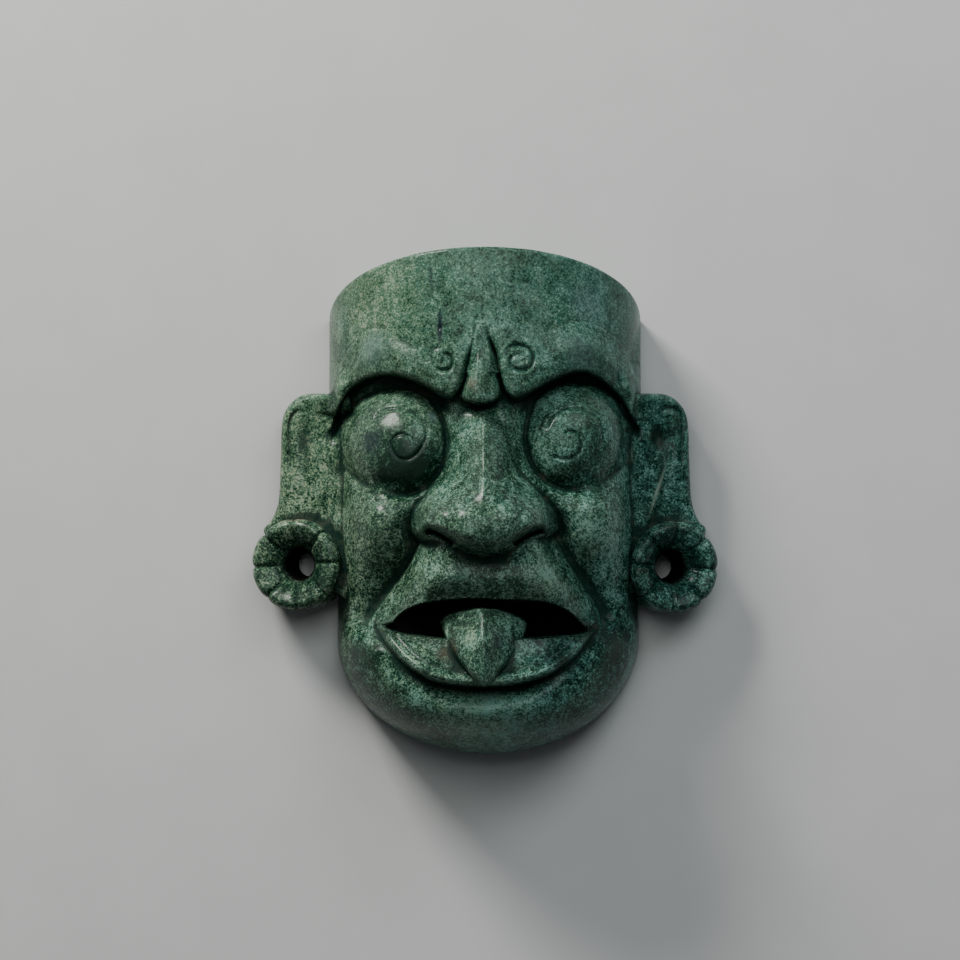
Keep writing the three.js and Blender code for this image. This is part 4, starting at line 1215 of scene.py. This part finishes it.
def between(tree, value, run, ends=(0.0, 1.0)):
    """Eases from the first end to the second while the value goes through its run"""
    made = tree.nodes.new("ShaderNodeMapRange")
    made.interpolation_type = "SMOOTHSTEP"
    for socket, given in zip(made.inputs, (value, *run, *ends)):
        feed(tree, given, socket)
    return made.outputs[0]


def blend(tree, share, below, above, mode="MIX"):
    made = tree.nodes.new("ShaderNodeMix")
    made.data_type = "RGBA"
    made.blend_type = mode
    for index, value in ((0, share), (6, below), (7, above)):
        feed(tree, value, made.inputs[index])
    return made.outputs[2]


def placed(tree, place, kind, centre, turn, scale):
    """Coordinates scaled and turned in the plane of the face, by a POINT or a TEXTURE mapping"""
    made = tree.nodes.new("ShaderNodeMapping")
    made.vector_type = kind
    feed(tree, place, made.inputs["Vector"])
    made.inputs["Location"].default_value = centre
    made.inputs["Rotation"].default_value = (0.0, 0.0, turn)
    made.inputs["Scale"].default_value = scale
    return made.outputs[0]


def grains(tree, place, scale, detail, roughness=0.55, distortion=0.0):
    made = tree.nodes.new("ShaderNodeTexNoise")
    feed(tree, place, made.inputs["Vector"])
    made.inputs["Scale"].default_value = scale
    made.inputs["Detail"].default_value = detail
    made.inputs["Roughness"].default_value = roughness
    made.inputs["Distortion"].default_value = distortion
    return made.outputs[0]


def drawn_grains(tree, place, stretch, turn, *settings):
    """Grain drawn out along a line"""
    return grains(tree, placed(tree, place, "POINT", (0.0, 0.0, 0.0), turn, stretch), 1.0, *settings)


def measured(tree, name):
    made = tree.nodes.new("ShaderNodeAttribute")
    made.attribute_name = name
    return made.outputs["Fac"]


def blotch(tree, place, centre, size, ragged):
    """A soft stain round a place, with a ragged edge"""
    away = tree.nodes.new("ShaderNodeVectorMath")
    away.operation = "DISTANCE"
    feed(tree, place, away.inputs[0])
    away.inputs[1].default_value = centre
    length = work(tree, "ADD", away.outputs["Value"], work(tree, "MULTIPLY", ragged, size))
    return between(tree, length, (size * 0.75, size * 1.75), (1.0, 0.0))


def stone_grain(tree, place):
    """Every size of grain by its name"""
    grain = {name: grains(tree, place, *settings) for name, settings in GRAIN.items()}
    grain["drawn"] = drawn_grains(tree, place, *DRAWN_GRAIN)
    return grain


def mottled_body(tree, place, grain, low, colours):
    """The stone's body, from dark through green to pale by the lightness of its grains, with painted light
    and shade laid into that lightness
    """
    lightness = 0.0
    for name, weight in GRAIN_WEIGHTS.items():
        lightness = work(tree, "MULTIPLY_ADD", grain[name], weight, lightness)
    # Painted light and shade: patches lightened where light falls and darkened where shade falls
    for centre, size, amount in PAINTED_LIGHT_AND_SHADE:
        tone = blotch(tree, place, centre, size, grain["cloud"])
        lightness = work(tree, "MULTIPLY_ADD", tone, amount, lightness)
    contrast = between(tree, low, CONTRAST_RUN, CONTRAST_ENDS)
    from_middle = work(tree, "SUBTRACT", lightness, LIGHTNESS_BEFORE)
    lightness = work(tree, "MULTIPLY_ADD", from_middle, contrast, LIGHTNESS_AFTER)
    body = blend(tree, between(tree, lightness, DARK_TO_GREEN), colours.dark, colours.green)
    return blend(tree, between(tree, lightness, GREEN_TO_PALE), body, colours.pale)


def tinted(tree, body, grain, across, low, colours):
    """Yellowish at the left, bluish at the right and deeper towards the chin, partly as painted shade"""
    side = work(tree, "MULTIPLY_ADD", grain["broad"], SIDE_WANDER, across)
    side = work(tree, "MULTIPLY_ADD", grain["cloud"], SIDE_CLOUD, side)
    tint = blend(tree, between(tree, side, SIDE_RUN), colours.olive, colours.teal)
    body = blend(tree, 1.0, body, tint, "MULTIPLY")
    deep = blend(tree, 1.0, body, colours.chin, "MULTIPLY")
    return blend(tree, between(tree, low, CHIN_RUN), body, deep)


def marked(tree, body, place, grain, colours):
    """Lays the patches and the long thin marks over the stone"""
    for centre, size, strength, name in STAINS:
        patch = blotch(tree, place, centre, size, grain["cloud"])
        body = blend(tree, work(tree, "MULTIPLY", patch, strength), body, getattr(colours, name))
    for centre, turn, stretch, width, strength, name in STREAKS:
        drawn = placed(tree, place, "TEXTURE", centre, turn, (1.0, stretch, STREAK_DEPTH))
        mark = blotch(tree, drawn, (0.0, 0.0, 0.0), width, grain["fine"])
        body = blend(tree, work(tree, "MULTIPLY", mark, strength), body, getattr(colours, name))
    return body


def weathered_and_shaded(tree, body, deep, shade, cloud, colours):
    """Paints shade into the recesses, leaves earth in them, wears what stands proud and paints the unlit
    mouth and bores near black as shade
    """
    # Painted shade: grooves and hollows darkened towards the dark grain colour, where shade falls
    body = blend(tree, shade, body, colours.dark)
    earth = work(tree, "MULTIPLY", between(tree, deep, EARTH_RUN), between(tree, cloud, EARTH_CLOUD_RUN))
    body = blend(tree, work(tree, "MULTIPLY", earth, EARTH_SHARE), body, colours.deposit)
    worn = work(tree, "MULTIPLY", between(tree, deep, WORN_RUN), WORN_SHARE)
    body = blend(tree, worn, body, colours.pale)
    # Painted shade: the unlit mouth and the bores painted near black
    return blend(tree, measured(tree, "unlit"), body, colours.painted_black_shade)


def stone_relief(tree, place, grain):
    """Height of the surface: low clouds, its grain and fine pits"""
    height = work(tree, "ADD", work(tree, "MULTIPLY", grain["cloud"], RELIEF_CLOUD),
                  work(tree, "MULTIPLY", grain["fine"], RELIEF_FINE))
    pits = between(tree, grains(tree, place, *PIT_GRAIN), PIT_RUN)
    return work(tree, "ADD", height, work(tree, "MULTIPLY", pits, RELIEF_PITS))


def jade_mottling(colours):
    """Node group of the stone's colour, relief and roughness, shared by its three finishes"""
    tree = bpy.data.node_groups.get("jade_mottling")
    if tree is not None:
        return tree
    tree = bpy.data.node_groups.new("jade_mottling", "ShaderNodeTree")
    tree.interface.new_socket("Place", in_out="INPUT", socket_type="NodeSocketVector")
    place = tree.nodes.new("NodeGroupInput").outputs["Place"]
    apart = tree.nodes.new("ShaderNodeSeparateXYZ")
    tree.links.new(place, apart.inputs[0])
    grain = stone_grain(tree, place)
    low = work(tree, "MULTIPLY_ADD", grain["broad"], CHIN_WANDER, apart.outputs["Y"])
    deep = measured(tree, "broad_recess")
    # Painted shade, stronger the more hollow a place is, from the fine and the broad measure
    fine = between(tree, measured(tree, "fine_recess"), FINE_SHADE_RUN)
    shade = work(tree, "MULTIPLY_ADD", fine, FINE_SHADE,
                 work(tree, "MULTIPLY", between(tree, deep, BROAD_SHADE_RUN), BROAD_SHADE))

    body = mottled_body(tree, place, grain, low, colours)
    body = tinted(tree, body, grain, apart.outputs["X"], low, colours)
    body = marked(tree, body, place, grain, colours)
    body = weathered_and_shaded(tree, body, deep, shade, grain["cloud"], colours)
    height = stone_relief(tree, place, grain)
    rough = work(tree, "ADD", between(tree, grain["small"], POLISH_RUN, POLISH_ROUGHNESS),
                 work(tree, "MULTIPLY", shade, RECESS_ROUGHNESS))

    outputs = (("Color", "NodeSocketColor", body), ("Height", "NodeSocketFloat", height),
               ("Roughness", "NodeSocketFloat", rough))
    for name, kind, _ in outputs:
        tree.interface.new_socket(name, in_out="OUTPUT", socket_type=kind)
    result = tree.nodes.new("NodeGroupOutput")
    for name, _, value in outputs:
        tree.links.new(value, result.inputs[name])
    return tree


def finish_tree(name):
    finish = bpy.data.materials.new(name)
    finish.use_nodes = True
    tree = finish.node_tree
    tree.nodes.clear()
    shader = tree.nodes.new("ShaderNodeBsdfPrincipled")
    tree.links.new(shader.outputs[0], tree.nodes.new("ShaderNodeOutputMaterial").inputs["Surface"])
    return finish, tree, shader


def dressed(tree, shader, values):
    """Feeds the shader's inputs by their names"""
    for name, value in values.items():
        feed(tree, value, shader.inputs[name])


def object_place(tree):
    return tree.nodes.new("ShaderNodeTexCoord").outputs["Object"]


def mottling_in(tree, place, colours):
    """The outputs of the stone's node group, set in a finish"""
    stone = tree.nodes.new("ShaderNodeGroup")
    stone.node_tree = jade_mottling(colours)
    tree.links.new(place, stone.inputs["Place"])
    return stone.outputs


def bumped(tree, height, strength=1.0):
    bump = tree.nodes.new("ShaderNodeBump")
    bump.inputs["Distance"].default_value = RELIEF_DEPTH
    bump.inputs["Strength"].default_value = strength
    tree.links.new(height, bump.inputs["Height"])
    return bump.outputs[0]


def polished_jade(colours):
    finish, tree, shader = finish_tree("polished_jade")
    stone = mottling_in(tree, object_place(tree), colours)
    dressed(tree, shader, {
        "Base Color": stone["Color"], "Roughness": stone["Roughness"], "Specular IOR Level": 0.12,
        "Coat Weight": 0.10, "Coat Roughness": 0.09, "Normal": bumped(tree, stone["Height"], 0.6)})
    return finish


# A dull copy of the stone, without reflection, for the faces under painted shade in the mouth and bores
def painted_shade_jade(colours):
    finish, tree, shader = finish_tree("painted_shade_jade")
    stone = mottling_in(tree, object_place(tree), colours)
    dressed(tree, shader, {
        "Base Color": stone["Color"], "Roughness": 0.9, "Specular IOR Level": 0.0,
        "Normal": bumped(tree, stone["Height"])})
    return finish


def ground_jade(colours):
    finish, tree, shader = finish_tree("ground_jade")
    place = object_place(tree)
    stone = mottling_in(tree, place, colours)
    scratches = drawn_grains(tree, place, *SCRATCH_GRAIN)
    height = work(tree, "ADD", stone["Height"], work(tree, "MULTIPLY", scratches, 0.5))
    dressed(tree, shader, {
        "Base Color": blend(tree, 0.35, stone["Color"], colours.dust),
        "Roughness": between(tree, scratches, (0.3, 0.7), (0.5, 0.66)), "Specular IOR Level": 0.2,
        "Normal": bumped(tree, height)})
    return finish


def studio_floor_finish(colours):
    finish, tree, shader = finish_tree("studio_floor")
    tone = between(tree, grains(tree, object_place(tree), 30.0, 2.0), (0.3, 0.7), (0.97, 1.0))
    dressed(tree, shader, {
        "Base Color": blend(tree, 1.0, colours.floor, tone, "MULTIPLY"), "Roughness": 0.8,
        "Specular IOR Level": 0.2})
    return finish


def softbox(name, towards, distance, size, power, colour):
    lamp = bpy.data.lights.new(name, "AREA")
    lamp.shape = "RECTANGLE"
    lamp.size, lamp.size_y = size
    lamp.energy = power
    lamp.color = colour
    holder = bpy.data.objects.new(name, lamp)
    bpy.context.scene.collection.objects.link(holder)
    ray = Vector(towards).normalized()
    holder.location = Vector(LIT_PLACE) + ray * distance
    holder.rotation_euler = ray.to_track_quat("Z", "Y").to_euler()


def studio_world():
    world = bpy.data.worlds.new("studio")
    world.use_nodes = True
    background = world.node_tree.nodes["Background"]
    background.inputs["Color"].default_value = STUDIO_LIGHT
    background.inputs["Strength"].default_value = STUDIO_STRENGTH
    return world


def photograph_camera(lean):
    """A long lens that looks along the line to which the carving is square"""
    camera = bpy.data.cameras.new("photograph_view")
    camera.sensor_width = 36.0
    camera.lens = camera.sensor_width * CAMERA_DISTANCE / PICTURE_WIDTH
    camera.clip_end = 50.0
    holder = bpy.data.objects.new("photograph_view", camera)
    bpy.context.scene.collection.objects.link(holder)
    towards = Vector((0.0, -lean, 1.0)).normalized()
    across = Vector((1.0, 0.0, 0.0))
    turn = Matrix((across, towards.cross(across), towards)).transposed()
    x, y, z = PICTURE_MIDDLE
    target = Vector((x, y + CENTRE_Y - lean * z, z)) * MM
    holder.matrix_world = Matrix.Translation(target + towards * CAMERA_DISTANCE * MM) @ turn.to_4x4()
    return holder


class JADE_MASK_OT_set_stage(bpy.types.Operator):
    """Lay the pale floor, light the mask softly and place the camera"""

    bl_idname = "jade_mask.set_stage"
    bl_label = "Set Stage"

    def execute(self, context):
        bm = bmesh.new()
        bmesh.ops.create_grid(bm, x_segments=4, y_segments=4, size=4.0)
        floor = new_object("studio_floor", mesh_from(bm, "studio_floor"))
        floor.data.materials.append(studio_floor_finish(context.scene.jade_mask_colours))
        for settings in SOFTBOXES:
            softbox(*settings)
        context.scene.world = studio_world()
        context.scene.camera = photograph_camera(context.scene.jade_mask_sizes.lean)
        return {"FINISHED"}


class JADE_MASK_PT_steps(bpy.types.Panel):
    """Sizes, colours and the steps of the work, in the order in which they are done"""

    bl_idname = "JADE_MASK_PT_steps"
    bl_label = "Jade Mask"
    bl_space_type = "VIEW_3D"
    bl_region_type = "UI"
    bl_category = "Jade Mask"

    def draw(self, context):
        for group in (context.scene.jade_mask_sizes, context.scene.jade_mask_colours):
            box = self.layout.box()
            for name in group.bl_rna.properties.keys():
                if name not in ("rna_type", "name"):
                    box.prop(group, name)
        for step in STEPS:
            self.layout.operator(step.bl_idname)


STEPS = (
    JADE_MASK_OT_carve_head,
    JADE_MASK_OT_add_ears,
    JADE_MASK_OT_add_flares,
    JADE_MASK_OT_hollow_back,
    JADE_MASK_OT_finish_stone,
    JADE_MASK_OT_set_stage,
)
CLASSES = (JadeMaskSizes, JadeMaskColours) + STEPS + (JADE_MASK_PT_steps,)


def register():
    for item in CLASSES:
        bpy.utils.register_class(item)
    bpy.types.Scene.jade_mask_sizes = bpy.props.PointerProperty(type=JadeMaskSizes)
    bpy.types.Scene.jade_mask_colours = bpy.props.PointerProperty(type=JadeMaskColours)


def unregister():
    del bpy.types.Scene.jade_mask_colours
    del bpy.types.Scene.jade_mask_sizes
    for item in reversed(CLASSES):
        bpy.utils.unregister_class(item)


def main():
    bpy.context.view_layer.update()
    register()
    for step in STEPS:
        group, name = step.bl_idname.split(".")
        getattr(getattr(bpy.ops, group), name)()


if __name__ == "__main__":
    main()
